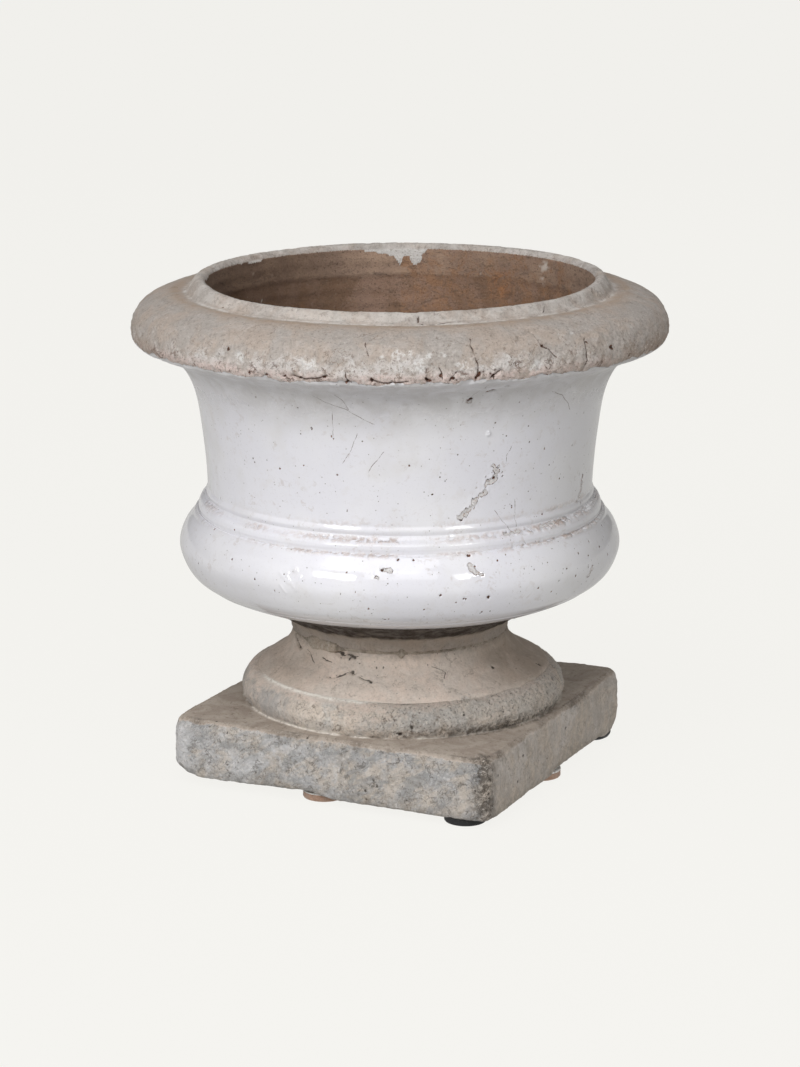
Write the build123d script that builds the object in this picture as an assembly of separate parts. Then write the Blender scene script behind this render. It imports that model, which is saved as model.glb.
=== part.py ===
from build123d import *
import os

# Glazed terracotta garden urn: a wide bowl with a rolled rim, bedded in lime mortar on a
# hollow square-based pedestal that stands on stick-on pads.
# Millimetres, +Z up. The origin is on the floor, on the axis of the turning.
# Turned outlines are given as (radius, height) points.

# ---- stick-on pads under the plinth, centres as (x, y)
PAD_R = 19.0
PAD_H = 8.0
PAD_EDGE_R = 1.2
FILM_H = 1.0  # adhesive layer on top of each felt pad
RUBBER_PADS = {
    "front_left": (-129, -88),
    "front_right": (126, -132),
    "back_left": (-121, 118),
    "back_right": (136, 136),
}
FELT_PADS = {
    "front": (-15, -126),
    "right": (136, 10),
    "back": (8, 124),
    "left": (-124, 6),
}

# ---- pedestal: square plinth, lower torus, bell and neck, one hollow casting
PLINTH_SIDE = 311.0
PLINTH_TOP = 64.5
PLINTH_CORNER_R = 10.0
PLINTH_TOP_EDGE_R = 6.0
PLINTH_BOTTOM_EDGE_R = 2.5
CAVITY_SIDE = 212.0
CAVITY_CORNER_R = 26.0
CAVITY_TOP = 46.0
BELL_BORE_R = 100.0
NECK_R = 98.3
NECK_BORE_R = 78.0
PEDESTAL_TOP = 128.5
TORUS_FOOT = (142.5, PLINTH_TOP)
TORUS_MIDDLE = (147.3, 77)
TORUS_SHOULDER = (141.6, 88.2)
RIDGE_BOTTOM = (133, 93)
RIDGE_TOP = (131.4, 94.6)
BELL_OUTLINE = [(125, 101), (114, 108.6), (102.6, 119.6)]
BELL_BORE_BOTTOM = (BELL_BORE_R, 70)
BELL_BORE_OUTLINE = [(86, 105), (96, 90)]
NECK_BORE_BOTTOM = (NECK_BORE_R, 118)

# ---- mortar bed between the pedestal and the bowl
MORTAR_H = 2.5
MORTAR_INSET = 0.9
SEAT_BORE_R = 80.0

# ---- bowl: foot, belly, two beads, wall, rolled rim, throat and floor
FOOT_Z = PEDESTAL_TOP + MORTAR_H
FOOT_RECESS_H = 9.0
FOOT_MIDDLE = (99.6, 137.5)
FOOT_TOP = (104.2, 143.4)
BELLY_UNDERSIDE = [(119, 152.6), (146, 164.6), (166, 172.5), (187, 184.8)]
BELLY_MIDDLE = (198.8, 212)
BELLY_UPPER = (194.2, 227.6)
BELLY_TOP = (185, 239.4)
LOWER_GROOVE = (181.2, 240.8)
LOWER_BEAD = [(182, 245), (181.3, 248.3), (179.2, 250.6)]
UPPER_GROOVE = [LOWER_BEAD[-1], (175.5, 252.2), (173.9, 255.6)]
UPPER_BEAD = [UPPER_GROOVE[-1], (175, 259.5), (173.7, 263.4)]
WALL_OUTLINE = [(174.9, 282), (178.6, 316), (183.6, 348), (189.4, 365), (197, 377)]
RIM_ROOT = (206, 384.5)
RIM_UNDERSIDE = [(216, 389.4), (228, 394.6)]
RIM_BOTTOM = (237.4, 398.9)
RIM_SIDE = (240, 406)
RIM_SHOULDER = [(238.2, 417), (231.6, 428.6), (217, 436.3)]
RIM_TOP = (203, 440.6)
LIP_FOOT = (193.8, 440.8)
LIP_OUTER = (188, 448)
LIP_TOP = (181.5, 453.5)
LIP_INNER = (175.6, 452.6)
MOUTH = (173.4, 449.6)
THROAT_OUTLINE = [(171.6, 424), (168.6, 386), (163.6, 344)]
THROAT_BOTTOM = (157.8, 272)
INNER_BELLY = [(169, 240), (182, 212), (171, 192), (140, 178)]
FLOOR_EDGE = (100, 160)
FLOOR_R = 84.0
FLOOR_Z = 156.0
DRAIN_R = 15.0

UP = (0, 1)
DOWN = (0, -1)


def turned(edges):
    """Turns a closed outline about the vertical axis."""
    return revolve(Plane.XZ * make_face(edges), Axis.Z)


def save(node, solid):
    solid.label = node
    export_step(solid, f"parts/{node}.step")


# ---------------------------------------------------------------- bowl
def bowl_outside():
    """Foot, belly, beads and wall, from the foot's lower edge up to the rim's underside."""
    foot = Spline((NECK_R, FOOT_Z), FOOT_MIDDLE, FOOT_TOP, tangents=[UP, (1.7, 1)])
    belly = Spline(
        FOOT_TOP, *BELLY_UNDERSIDE, BELLY_MIDDLE, BELLY_UPPER, BELLY_TOP,
        tangents=[(1.7, 1), (-1, 0.85)],
    )
    lower_groove = Polyline(BELLY_TOP, LOWER_GROOVE, LOWER_BEAD[0])
    lower_bead = ThreePointArc(*LOWER_BEAD)
    upper_groove = ThreePointArc(*UPPER_GROOVE)
    upper_bead = ThreePointArc(*UPPER_BEAD)
    wall = Spline(
        UPPER_BEAD[-1], *WALL_OUTLINE, RIM_ROOT, *RIM_UNDERSIDE,
        tangents=[(0.03, 1), (2, 0.9)],
    )
    return [foot, belly, lower_groove, lower_bead, upper_groove, upper_bead, wall]


def bowl_rim():
    """Rolled rim with a raised inner lip, from the underside round to the mouth."""
    roll = Spline(RIM_UNDERSIDE[-1], RIM_BOTTOM, RIM_SIDE, *RIM_SHOULDER, RIM_TOP, LIP_FOOT)
    lip = Spline(
        LIP_FOOT, LIP_OUTER, LIP_TOP, LIP_INNER, MOUTH,
        tangents=[(-0.4, 1), (-0.3, -1)],
    )
    return [roll, lip]


def bowl_inside():
    """Throat, inner belly and floor, round the drain hole and the recess in the foot."""
    throat = Spline(MOUTH, *THROAT_OUTLINE, THROAT_BOTTOM, tangents=[(-0.3, -1), DOWN])
    belly = Spline(
        THROAT_BOTTOM, *INNER_BELLY, FLOOR_EDGE, tangents=[DOWN, (-1.6, -1)]
    )
    recess_z = FOOT_Z + FOOT_RECESS_H
    floor = Polyline(
        FLOOR_EDGE, (FLOOR_R, FLOOR_Z), (DRAIN_R, FLOOR_Z), (DRAIN_R, recess_z),
        (SEAT_BORE_R, recess_z), (SEAT_BORE_R, FOOT_Z), (NECK_R, FOOT_Z),
    )
    return [throat, belly, floor]


bowl = turned(bowl_outside() + bowl_rim() + bowl_inside())


# ------------------------------------------------------------ pedestal
def pedestal_shell():
    """Lower torus, ridge, bell and neck, with the bell's bore."""
    torus = Spline(
        TORUS_FOOT, TORUS_MIDDLE, TORUS_SHOULDER, RIDGE_BOTTOM,
        tangents=[(0.7, 1), (-1, 0.35)],
    )
    ridge = Line(RIDGE_BOTTOM, RIDGE_TOP)
    bell = Spline(
        RIDGE_TOP, *BELL_OUTLINE, (NECK_R, PEDESTAL_TOP), tangents=[(-0.7, 1), UP]
    )
    neck = Polyline(
        (NECK_R, PEDESTAL_TOP), (NECK_BORE_R, PEDESTAL_TOP), NECK_BORE_BOTTOM
    )
    bore = Spline(
        NECK_BORE_BOTTOM, *BELL_BORE_OUTLINE, BELL_BORE_BOTTOM,
        tangents=[(0.2, -1), DOWN],
    )
    foot = Polyline(
        BELL_BORE_BOTTOM, (BELL_BORE_R, CAVITY_TOP), (TORUS_FOOT[0], CAVITY_TOP),
        TORUS_FOOT,
    )
    return turned([torus, ridge, bell, neck, bore, foot])


def plinth():
    """Square slab, open underneath, with the bell's bore through its top."""
    block = Pos(0, 0, PAD_H) * extrude(
        RectangleRounded(PLINTH_SIDE, PLINTH_SIDE, PLINTH_CORNER_R), PLINTH_TOP - PAD_H
    )
    block = fillet(block.faces().sort_by(Axis.Z)[-1].edges(), PLINTH_TOP_EDGE_R)
    block = fillet(block.faces().sort_by(Axis.Z)[0].edges(), PLINTH_BOTTOM_EDGE_R)
    cavity = Pos(0, 0, PAD_H) * extrude(
        RectangleRounded(CAVITY_SIDE, CAVITY_SIDE, CAVITY_CORNER_R), CAVITY_TOP - PAD_H
    )
    bore = Pos(0, 0, PAD_H) * extrude(Circle(BELL_BORE_R), PLINTH_TOP - PAD_H)
    return block - cavity - bore


pedestal = plinth() + pedestal_shell()

# -------------------------------------------------------------- mortar
mortar_bed = Pos(0, 0, PEDESTAL_TOP) * extrude(
    Circle(NECK_R - MORTAR_INSET) - Circle(SEAT_BORE_R), MORTAR_H
)


# ---------------------------------------------------------------- pads
def disc(centre, z, height):
    return Pos(*centre, z) * extrude(Circle(PAD_R), height)


def rubber_pad(centre):
    pad = disc(centre, 0, PAD_H)
    return fillet(pad.faces().sort_by(Axis.Z)[0].edges(), PAD_EDGE_R)


os.makedirs("parts", exist_ok=True)
save("bowl", bowl)
save("pedestal", pedestal)
save("mortar_bed", mortar_bed)
for place, centre in RUBBER_PADS.items():
    save(f"rubber_pad_{place}", rubber_pad(centre))
for place, centre in FELT_PADS.items():
    save(f"felt_pad_{place}", disc(centre, 0, PAD_H - FILM_H))
    save(f"adhesive_film_{place}", disc(centre, PAD_H - FILM_H, FILM_H))
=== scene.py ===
import math

import bpy
import numpy as np
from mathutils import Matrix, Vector


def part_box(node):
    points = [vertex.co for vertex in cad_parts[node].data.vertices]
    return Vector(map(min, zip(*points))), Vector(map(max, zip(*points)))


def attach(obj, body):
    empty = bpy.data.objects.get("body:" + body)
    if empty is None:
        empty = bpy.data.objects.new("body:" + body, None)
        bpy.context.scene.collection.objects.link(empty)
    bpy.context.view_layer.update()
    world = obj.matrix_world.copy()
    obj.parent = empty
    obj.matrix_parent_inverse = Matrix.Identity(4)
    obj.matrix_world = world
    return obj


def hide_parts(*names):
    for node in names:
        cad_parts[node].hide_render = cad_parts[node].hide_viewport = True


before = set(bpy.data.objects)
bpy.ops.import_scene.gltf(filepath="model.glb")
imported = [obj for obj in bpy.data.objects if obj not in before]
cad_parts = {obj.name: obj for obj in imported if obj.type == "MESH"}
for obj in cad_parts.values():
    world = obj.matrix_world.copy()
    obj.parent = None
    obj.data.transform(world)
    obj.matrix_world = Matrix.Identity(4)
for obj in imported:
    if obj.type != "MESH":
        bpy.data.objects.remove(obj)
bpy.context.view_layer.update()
scene = bpy.context.scene

MM = 0.001
CAMERA_AZIMUTH = 25.4  # degrees, the viewing side; angles phi below count to the right from it
CAMERA_ELEVATION = 14.006  # degrees
CAMERA_DISTANCE = 2.8586  # metres, from CAMERA_TARGET
CAMERA_VIEW = 19.26859  # degrees, from the picture's top to its bottom
CAMERA_TARGET = np.array([0, 0, 0.2145])
URN_MIDDLE = np.array([0, 0, 0.25])
PALE = (0.905, 0.896, 0.863)  # the backdrop
FINE = 1.0  # mesh spacing factor


# ------------------------------------------------------------------ numpy noise
rng = np.random.default_rng(41)
PERM = rng.permutation(256).astype(np.int32)
VALUE = (rng.random(256) * 2 - 1).astype(np.float32)


def value_noise(p, size, seed):
    """Smooth noise in -1..1 with features about size millimetres across."""
    q = p / size + np.array([31.7, 11.3, 53.9]) * seed
    base = np.floor(q).astype(np.int32)
    t = (q - base).astype(np.float32)
    t = t * t * (3 - 2 * t)
    out = np.zeros(len(p), np.float32)
    for dx in (0, 1):
        wx = t[:, 0] if dx else 1 - t[:, 0]
        ix = PERM[(base[:, 0] + dx) & 255]
        for dy in (0, 1):
            wxy = wx * (t[:, 1] if dy else 1 - t[:, 1])
            iy = PERM[(ix + base[:, 1] + dy) & 255]
            for dz in (0, 1):
                w = wxy * (t[:, 2] if dz else 1 - t[:, 2])
                out += w * VALUE[PERM[(iy + base[:, 2] + dz) & 255]]
    return out


def fbm(p, size, octaves=4, seed=1):
    total, amp, norm = 0.0, 1.0, 0.0
    for k in range(octaves):
        total = total + amp * value_noise(p, size / 2 ** k, seed + 3 * k)
        norm += amp
        amp *= 0.55
    return total / norm * 1.6


def smooth(x, lo, hi):
    t = np.clip((x - lo) / (hi - lo), 0, 1)
    return t * t * (3 - 2 * t)


def within(x, a, b, c, d):
    """1 between b and c, fading to 0 at a and at d."""
    return smooth(x, a, b) * smooth(x, d, c)


def hump(x, middle, width):
    return np.exp(-((x - middle) / width) ** 2)


def from_line(q, a, b):
    """Offsets of points q from the straight line between a and b."""
    ab = b - a
    t = np.clip(((q - a) @ ab) / (ab @ ab), 0, 1)
    return q - a - t[:, None] * ab


def pits(p, cell, seed, radius):
    """Round hollows scattered one to a cell: 1 at the middle, 0 at radius (in cells)."""
    q = p / cell + 7.7 * seed
    base = np.floor(q).astype(np.int32)
    best = np.zeros(len(p), np.float32)
    for dx in (-1, 0, 1):
        ix = PERM[(base[:, 0] + dx) & 255]
        for dy in (-1, 0, 1):
            iy = PERM[(ix + base[:, 1] + dy) & 255]
            for dz in (-1, 0, 1):
                k = PERM[(iy + base[:, 2] + dz) & 255]
                d2 = 0.0
                for a, d in enumerate((dx, dy, dz)):
                    middle = base[:, a] + d + 0.5 + 0.5 * VALUE[(k + 71 * a) & 255]
                    d2 = d2 + (q[:, a] - middle) ** 2
                size = radius * (0.7 + 0.3 * VALUE[(k + 19) & 255])
                best = np.maximum(best, np.clip(1 - np.sqrt(d2) / size, 0, 1))
    return best


# ------------------------------------------------------------------ outlines and grids
def curve(points, steps=24):
    """Smooth centripetal curve through (radius, height) points."""
    p = [np.array(q, float) for q in points]
    p = [2 * p[0] - p[1]] + p + [2 * p[-1] - p[-2]]
    out = []
    for a, b, c, d in zip(p, p[1:], p[2:], p[3:]):
        ta = 0.0
        tb = ta + np.linalg.norm(b - a) ** 0.5
        tc = tb + np.linalg.norm(c - b) ** 0.5
        td = tc + np.linalg.norm(d - c) ** 0.5
        for t in np.linspace(tb, tc, steps, endpoint=False):
            ab = (tb - t) / (tb - ta) * a + (t - ta) / (tb - ta) * b
            bc = (tc - t) / (tc - tb) * b + (t - tb) / (tc - tb) * c
            cd = (td - t) / (td - tc) * c + (t - tc) / (td - tc) * d
            e = (tc - t) / (tc - ta) * ab + (t - ta) / (tc - ta) * bc
            f = (td - t) / (td - tb) * bc + (t - tb) / (td - tb) * cd
            out.append((tc - t) / (tc - tb) * e + (t - tb) / (tc - tb) * f)
    out.append(p[-2])
    return np.array(out)


def respace(points, gap):
    """Even spacing along an outline, keeping its ends."""
    points = np.asarray(points, float)
    run = np.r_[0, np.cumsum(np.linalg.norm(np.diff(points, axis=0), axis=1))]
    n = max(2, int(round(run[-1] / gap)) + 1)
    at = np.linspace(0, run[-1], n)
    return np.c_[np.interp(at, run, points[:, 0]), np.interp(at, run, points[:, 1])]


def chain(*spans):
    out = spans[0]
    for s in spans[1:]:
        out = np.vstack([out, s[1:]])
    return out


def columns(near_mm, far_mm, radius=240):
    """Angles round the axis in degrees from the viewing side, closer together on that side."""
    front = np.arange(-74, 74, np.degrees(near_mm * FINE / radius))
    back = np.linspace(74, 286, int(np.radians(212) * radius / (far_mm * FINE)), endpoint=False)
    return np.r_[front, back]


def direction(phi):
    a = np.radians(np.asarray(phi) + CAMERA_AZIMUTH - 90)
    return np.cos(a), np.sin(a)


def turned_grid(outline, phi):
    """Rings of a closed outline turned about +Z, with outward normals."""
    c, s = direction(phi)
    flat = np.ones_like(c)
    r, z = outline[:, :1], outline[:, 1:]
    tangent = np.roll(outline, -1, axis=0) - np.roll(outline, 1, axis=0)
    tangent /= np.linalg.norm(tangent, axis=1)[:, None] + 1e-9
    nr, nz = tangent[:, 1:], -tangent[:, :1]
    return np.stack([r * c, r * s, z * flat], -1), np.stack([nr * c, nr * s, nz * flat], -1)


def lattice_mesh(name, rings, fields, closed=True):
    """Mesh of rings of points, (ring, column, xyz) in millimetres, with named point values."""
    n_ring, n_col = rings.shape[:2]
    ids = np.arange(n_ring * n_col).reshape(n_ring, n_col)
    nxt = np.roll(ids, -1, axis=1)
    up, up_nxt = np.roll(ids, -1, axis=0), np.roll(nxt, -1, axis=0)
    faces = np.stack([ids, nxt, up_nxt, up], -1)
    faces = (faces if closed else faces[:-1]).reshape(-1, 4)
    mesh = bpy.data.meshes.new(name)
    mesh.vertices.add(n_ring * n_col)
    mesh.vertices.foreach_set("co", (rings.reshape(-1, 3) * MM).astype(np.float32).ravel())
    mesh.loops.add(faces.size)
    mesh.loops.foreach_set("vertex_index", faces.ravel().astype(np.int32))
    mesh.polygons.add(len(faces))
    mesh.polygons.foreach_set("loop_start", np.arange(0, faces.size, 4, dtype=np.int32))
    mesh.polygons.foreach_set("loop_total", np.full(len(faces), 4, np.int32))
    mesh.polygons.foreach_set("use_smooth", np.ones(len(faces), bool))
    mesh.update(calc_edges=True)
    for key, value in fields.items():
        a = mesh.attributes.new(key, "FLOAT", "POINT")
        a.data.foreach_set("value", value.astype(np.float32).ravel())
    obj = bpy.data.objects.new(name, mesh)
    scene.collection.objects.link(obj)
    return obj


# ------------------------------------------------------------------ marks on a surface
class Marks:
    """Pits, cracks and scars worked into a cloud of surface points."""

    def __init__(self, p, place):
        self.p = p
        self.place = place  # turns a mark's (phi, z) into a point
        self.lift = np.zeros(len(p), np.float32)
        self.pit = np.zeros(len(p), np.float32)
        self.scar = np.zeros(len(p), np.float32)
        self.side = np.full(len(p), 9.0, np.float32)

    def distance(self, angle, height):
        return np.linalg.norm(self.p - np.array(self.place(angle, height)), axis=1)

    def near(self, path, reach):
        path = np.array([self.place(*q) for q in path])
        box = np.all((self.p > path.min(0) - reach) & (self.p < path.max(0) + reach), axis=1)
        idx = np.flatnonzero(box)
        return path, idx, self.p[idx]

    def hole(self, phi, z, radius, depth=1.0, ragged=0.5):
        """Pit with a ragged edge; pit and depth fade together."""
        path, idx, q = self.near([(phi, z)], radius * 2)
        d = np.linalg.norm(q - path[0], axis=1) / radius
        d *= 1 + ragged * value_noise(q, radius * 1.1, int(phi) % 17)
        m = 1 - smooth(d, 0.35, 1.0)
        self.pit[idx] = np.maximum(self.pit[idx], m)
        self.lift[idx] -= m * radius * depth

    def line(self, path, width=0.0, depth=0.0, wander=0.8, seed=3, dark=0.42):
        """Fine dark line; the shader draws it from its signed distance, thinner than the mesh."""
        path, idx, q = self.near(path, 7 + width)
        w = q + wander * np.stack([value_noise(q, 7, seed + k) for k in range(3)], -1)
        best, sign = np.full(len(q), 9.0), np.ones(len(q))
        up = np.cross(path[-1] - path[0], path.mean(0) - np.array([0, 0, path[:, 2].mean() - 30]))
        for a, b in zip(path[:-1], path[1:]):
            off = from_line(w, a, b)
            d = np.linalg.norm(off, axis=1)
            closer = d < best
            best = np.where(closer, d, best)
            sign = np.where(closer, np.sign(off @ up), sign)
        take = best < np.abs(self.side[idx])
        self.side[idx] = np.where(take, best * sign, self.side[idx])
        if width:
            m = 1 - smooth(best, 0.3 * width, width)
            broken = smooth(value_noise(q, 3.5, seed + 9), -0.5, 0.5)
            self.pit[idx] = np.maximum(self.pit[idx], dark * m * broken)
            self.lift[idx] -= m * depth

    def wound(self, path, width, depth, seed=3):
        """Chipped strip: broken glaze edges round rough clay."""
        path, idx, q = self.near(path, width * 2)
        best = np.full(len(q), 99.0)
        for a, b in zip(path[:-1], path[1:]):
            best = np.minimum(best, np.linalg.norm(from_line(q, a, b), axis=1))
        best = best / (0.8 * width * (1 + 1.25 * fbm(q, width * 1.7, 3, seed)))
        m = 1 - smooth(best, 0.55, 0.95)
        self.scar[idx] = np.maximum(self.scar[idx], m)
        self.lift[idx] += 0.25 * smooth(best, 1.9, 1.1) * (1 - m)
        self.lift[idx] += m * depth * (0.9 * fbm(q, 3.0, 2, seed + 1) - 0.35)


# ------------------------------------------------------------------ bowl
FOOT = [(98.3, 131), (99.4, 137.5), (104.2, 143.4)]
BELLY = [
    (104.2, 143.4), (119, 152.6), (146, 164.6), (166, 172.5), (181.5, 180.6), (189.4, 187.6), (195.8, 199),
    (198.8, 212), (194.2, 227.6), (185, 239.4),
]
BEADS = [
    [(185, 239.4), (181.4, 240.6)], [(181.4, 240.6), (181.7, 243.2), (182.1, 245)],
    [(182.1, 245), (181.4, 248.3), (179.2, 250.6)], [(179.2, 250.6), (175.6, 252.4), (174.1, 255.6)],
    [(174.1, 255.6), (175.3, 259.3), (173.8, 263.4)],
]
WALL = [
    (173.8, 263.4), (174.9, 282), (178.6, 316), (183.6, 348), (189.4, 365), (197, 377), (206, 384.5),
    (216, 389.4), (228, 394.8),
]
ROLL = [
    (228, 394.8), (236.4, 397.8), (239.2, 402), (240, 407), (238.2, 417), (231.6, 428.6), (217, 436.3),
    (203, 440.4), (192, 440.8),
]
LIP = [(192, 440.8), (189.4, 442), (186.4, 447.4), (181.3, 453.3), (175.8, 452.6), (173.4, 449.6)]
INSIDE = [
    (173.4, 449.6), (171.8, 438), (171, 424), (168.6, 386), (163.6, 344), (157.8, 272), (169, 240),
    (182, 212), (171, 192), (140, 178), (100, 160), (84, 156),
]

# height of the ragged edge of the glaze inside the mouth, at angles from the viewing side
INNER_EDGE = [
    (-180, 433), (-178.5, 440.5), (-173, 445.5), (-168, 448.5), (-154, 449), (-142, 451), (-134.5, 450),
    (-131.5, 446), (-126, 447.5), (-111, 449), (-92, 447.5), (-60, 449), (0, 449.5), (60, 449.5),
    (95, 450.5), (134, 450.5), (155.5, 450), (171, 449), (173, 443.5), (173.5, 435.5), (176, 434),
    (177, 441.5), (179, 440.5), (180, 433),
]

# small glaze pits: angle, height, radius
GLAZE_PITS = [
    (-39.5, 372, 1.0), (-27, 366.5, 1.0), (-24, 348, 1.0), (-45.5, 312, 1.2), (-40, 314, 1.0),
    (-35.5, 308, 1.3), (-27.5, 313.5, 1.0), (-17.5, 308, 1.3), (-66, 264, 1.1), (-15, 276.5, 1.0),
    (-23, 290.5, 0.9), (-18.5, 342.5, 1.0), (-18, 340.5, 1.0), (21, 383.5, 2.3), (17, 376, 1.6),
    (2.5, 318.5, 1.2), (32, 369, 1.0), (61.5, 344.5, 1.1), (48.5, 307.5, 1.0), (33.5, 273.5, 1.1),
    (45, 262.5, 1.2), (-62, 239.5, 1.5), (-52.5, 245.5, 1.2), (-48, 224, 1.3), (-63, 210, 1.2),
    (-39, 212.5, 1.2), (-61, 197, 1.0), (-4.5, 230.5, 2.0), (-0.5, 238.5, 1.6), (3.5, 238, 1.5),
    (18.5, 239.5, 2.3), (10, 209, 1.5), (16, 204.5, 1.5), (16.5, 204, 1.3), (22.5, 204, 2.3),
    (29, 237, 1.0), (26, 233.5, 1.1), (-13.5, 227.5, 1.0), (-11, 211.5, 1.1), (-4, 184.5, 1.6),
    (-3, 185, 1.3), (21.5, 189.5, 1.3), (37, 205.5, 1.3), (44, 207.5, 1.3), (50.5, 208, 1.5),
    (73, 236, 1.5), (27, 302.5, 1.8), (102, 330, 1.3), (131, 221, 2.0), (19.5, 231, 1.2), (14, 201.5, 1.0),
    (20, 207, 0.9), (33, 224, 1.0), (36, 222, 1.2), (39, 226, 0.9), (47, 217, 1.3), (53, 226, 1.1),
    (57, 221, 1.4), (60, 231, 1.2), (64, 224, 1.5), (68, 214, 1.2), (42, 199, 1.0), (6, 196, 1.0),
    (-8, 196, 1.1), (-33, 205, 1.0), (12.5, 303, 1.0), (9, 292, 1.1), (38, 331, 1.0), (44, 322, 1.1),
    (49, 338, 0.9), (57, 318, 1.2), (52, 291, 1.0), (26, 352, 1.1), (148, 291, 1.6), (171, 215, 2.1),
    (-158, 236, 1.7), (-136, 342, 1.3), (-119, 208, 1.8), (-97, 300, 1.2),
]
# hairlines in the glaze, as (angle, height) points
HAIRLINES = [
    [(-22, 383), (-18.5, 375), (-14, 369), (-7, 355.5)], [(-15.5, 383.5), (-14, 377.5), (-13, 368.5)],
    [(-17.5, 365), (-18, 344)], [(-11.5, 346), (-13, 332.5), (-15.5, 320)], [(-4.5, 330.5), (-8.5, 313.5)],
    [(32, 329), (30.5, 322), (30.5, 315.5)], [(42, 374.5), (46.5, 369.5), (51, 359), (52.5, 353)],
    [(28, 272.5), (32.5, 255.5), (36.5, 242)], [(34.5, 280), (35, 254)],
    [(19, 403), (19, 389.5), (17.5, 380)], [(17, 398), (15.5, 375)], [(104, 371), (112, 346), (113, 322)],
    [(150, 262), (163, 301), (166, 340)], [(-101, 386), (-108, 352), (-106, 331)],
]
# broken strips and chips in the glaze: points, width, depth
WOUNDS = [
    ([(26.5, 314), (28, 307), (27, 301.5)], 2.5, 1.0),
    ([(27, 301.5), (24.5, 296.5), (24.5, 290)], 3.3, 1.0),
    ([(24.5, 290), (22, 286.5), (20.5, 279)], 2.7, 1.0),
    ([(20.5, 279), (18.5, 273.5), (17, 271)], 3.4, 1.0),
    ([(66.5, 285), (65.5, 270.5), (63, 263)], 2.0, 0.8),
    ([(18, 232.5), (18.5, 228.5), (20.5, 224)], 2.5, 0.8), ([(-4, 230.5), (-3, 230)], 4.1, 0.8),
    ([(16.5, 375), (17.5, 374.5)], 2.5, 0.7), ([(56.5, 202.5), (58, 210.5)], 2.2, 0.6),
    ([(30.5, 251.5), (35.5, 252)], 2.2, 0.6), ([(43.5, 252), (49.5, 252.5)], 1.9, 0.6),
    ([(-6, 224.5), (-5.5, 224)], 1.6, 0.5), ([(139, 230), (142, 222)], 3.3, 1.0),
    ([(-169, 262), (-160, 264)], 2.5, 0.8), ([(-125, 232), (-121, 228)], 2.7, 0.8),
]
# cracks through the rim: points, width, depth
RIM_CRACKS = [
    ([(15, 434.5), (15, 425.5), (15.5, 414), (15.5, 402)], 1.6, 1.6),
    ([(29.5, 435), (30, 426.5), (33, 416.5)], 1.7, 1.8),
    ([(41.5, 425.5), (41, 416), (40.5, 403)], 1.5, 1.4),
    ([(-21.5, 404.5), (-19, 402), (-16.5, 403), (-14.5, 406)], 1.9, 1.8),
    ([(5, 449), (4.5, 443)], 1.4, 1.2), ([(41.5, 449), (40.5, 443.5)], 1.2, 1.0),
    ([(-7, 432), (-6.5, 424)], 1.0, 0.7), ([(-5.5, 403), (-3, 401.5), (-0.5, 401.5), (1.5, 401)], 1.4, 1.2),
    ([(18.5, 403), (19.5, 406.5), (20.5, 408)], 2.2, 1.8),
    ([(5.5, 441.5), (9, 441), (13, 441.5)], 0.0, 0.0), ([(-10.5, 407.5), (-10.5, 399)], 1.8, 1.4),
    ([(8, 413), (8, 405)], 1.4, 1.2), ([(11, 409.5), (10, 403)], 1.7, 1.4),
    ([(5, 411.5), (5.5, 401)], 1.8, 1.6), ([(108, 432), (110, 418), (107, 404)], 1.5, 1.4),
    ([(-128, 436), (-131, 421), (-129, 405)], 1.5, 1.4), ([(166, 428), (170, 404)], 1.5, 1.4),
]
RIM_PITS = [
    (-31.5, 404, 1.8), (-37.5, 420.5, 1.7), (-80, 428.5, 1.4), (-54, 444, 1.0), (-27.5, 403.5, 1.3),
    (-23.5, 403.5, 1.5), (-10.5, 400.5, 2.0), (-5.5, 403.5, 2.2), (5.5, 403, 2.4), (8, 407, 1.5),
    (10.5, 404, 2.0), (15.5, 404, 2.5), (19, 405, 2.4), (48.5, 416, 2.3), (63.5, 408, 1.4),
    (31, 400.5, 1.4), (30.5, 425.5, 2.0), (15.5, 444, 1.4), (41.5, 424, 1.4), (-46.5, 403, 1.5),
    (-15, 405, 2.0), (-20, 403.5, 1.8), (120, 403, 2.2), (152, 402.5, 2.5), (-171, 402.5, 2.2),
    (-148, 403.5, 2.4), (-112, 403, 2.1), (-94, 404, 1.8), (84, 404, 2.0), (24.5, 390, 3.0), (22, 385, 3.4),
    (17.5, 376.5, 2.6),
]


# nodule on the wall, and a blister of two domes with ridges on the belly
NODULES = [(24.3, 343, 3.2, 2.4), (-27.4, 226.2, 4.2, 0.9), (-29.3, 222.5, 2.4, 0.6)]
BLISTER_RIDGES = [
    [(-31.6, 222), (-28.6, 214)], [(-29.4, 220), (-27.2, 211)],
    [(-25.6, 221), (-26.6, 208)], [(-31.2, 212), (-29.6, 205)],
]
# white remnants on the rim's brow, and salt on the clay inside: angle, height, size
CHALK_SPOTS = [
    (-3.5, 423.4, 4), (-0.5, 424, 5), (2.5, 423.6, 5), (5.5, 422.8, 6), (9, 423.4, 4), (4, 416, 9),
    (12, 414, 7), (28.2, 412, 7), (36, 430.1, 7), (39, 432, 5), (-19, 414, 8), (-34, 416, 9),
    (150, 424, 14), (-120, 420, 12),
]
SALT_SPOTS = [(129, 441, 5), (129.6, 433, 5), (128.6, 427, 4), (-127.7, 436, 2)]


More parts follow.
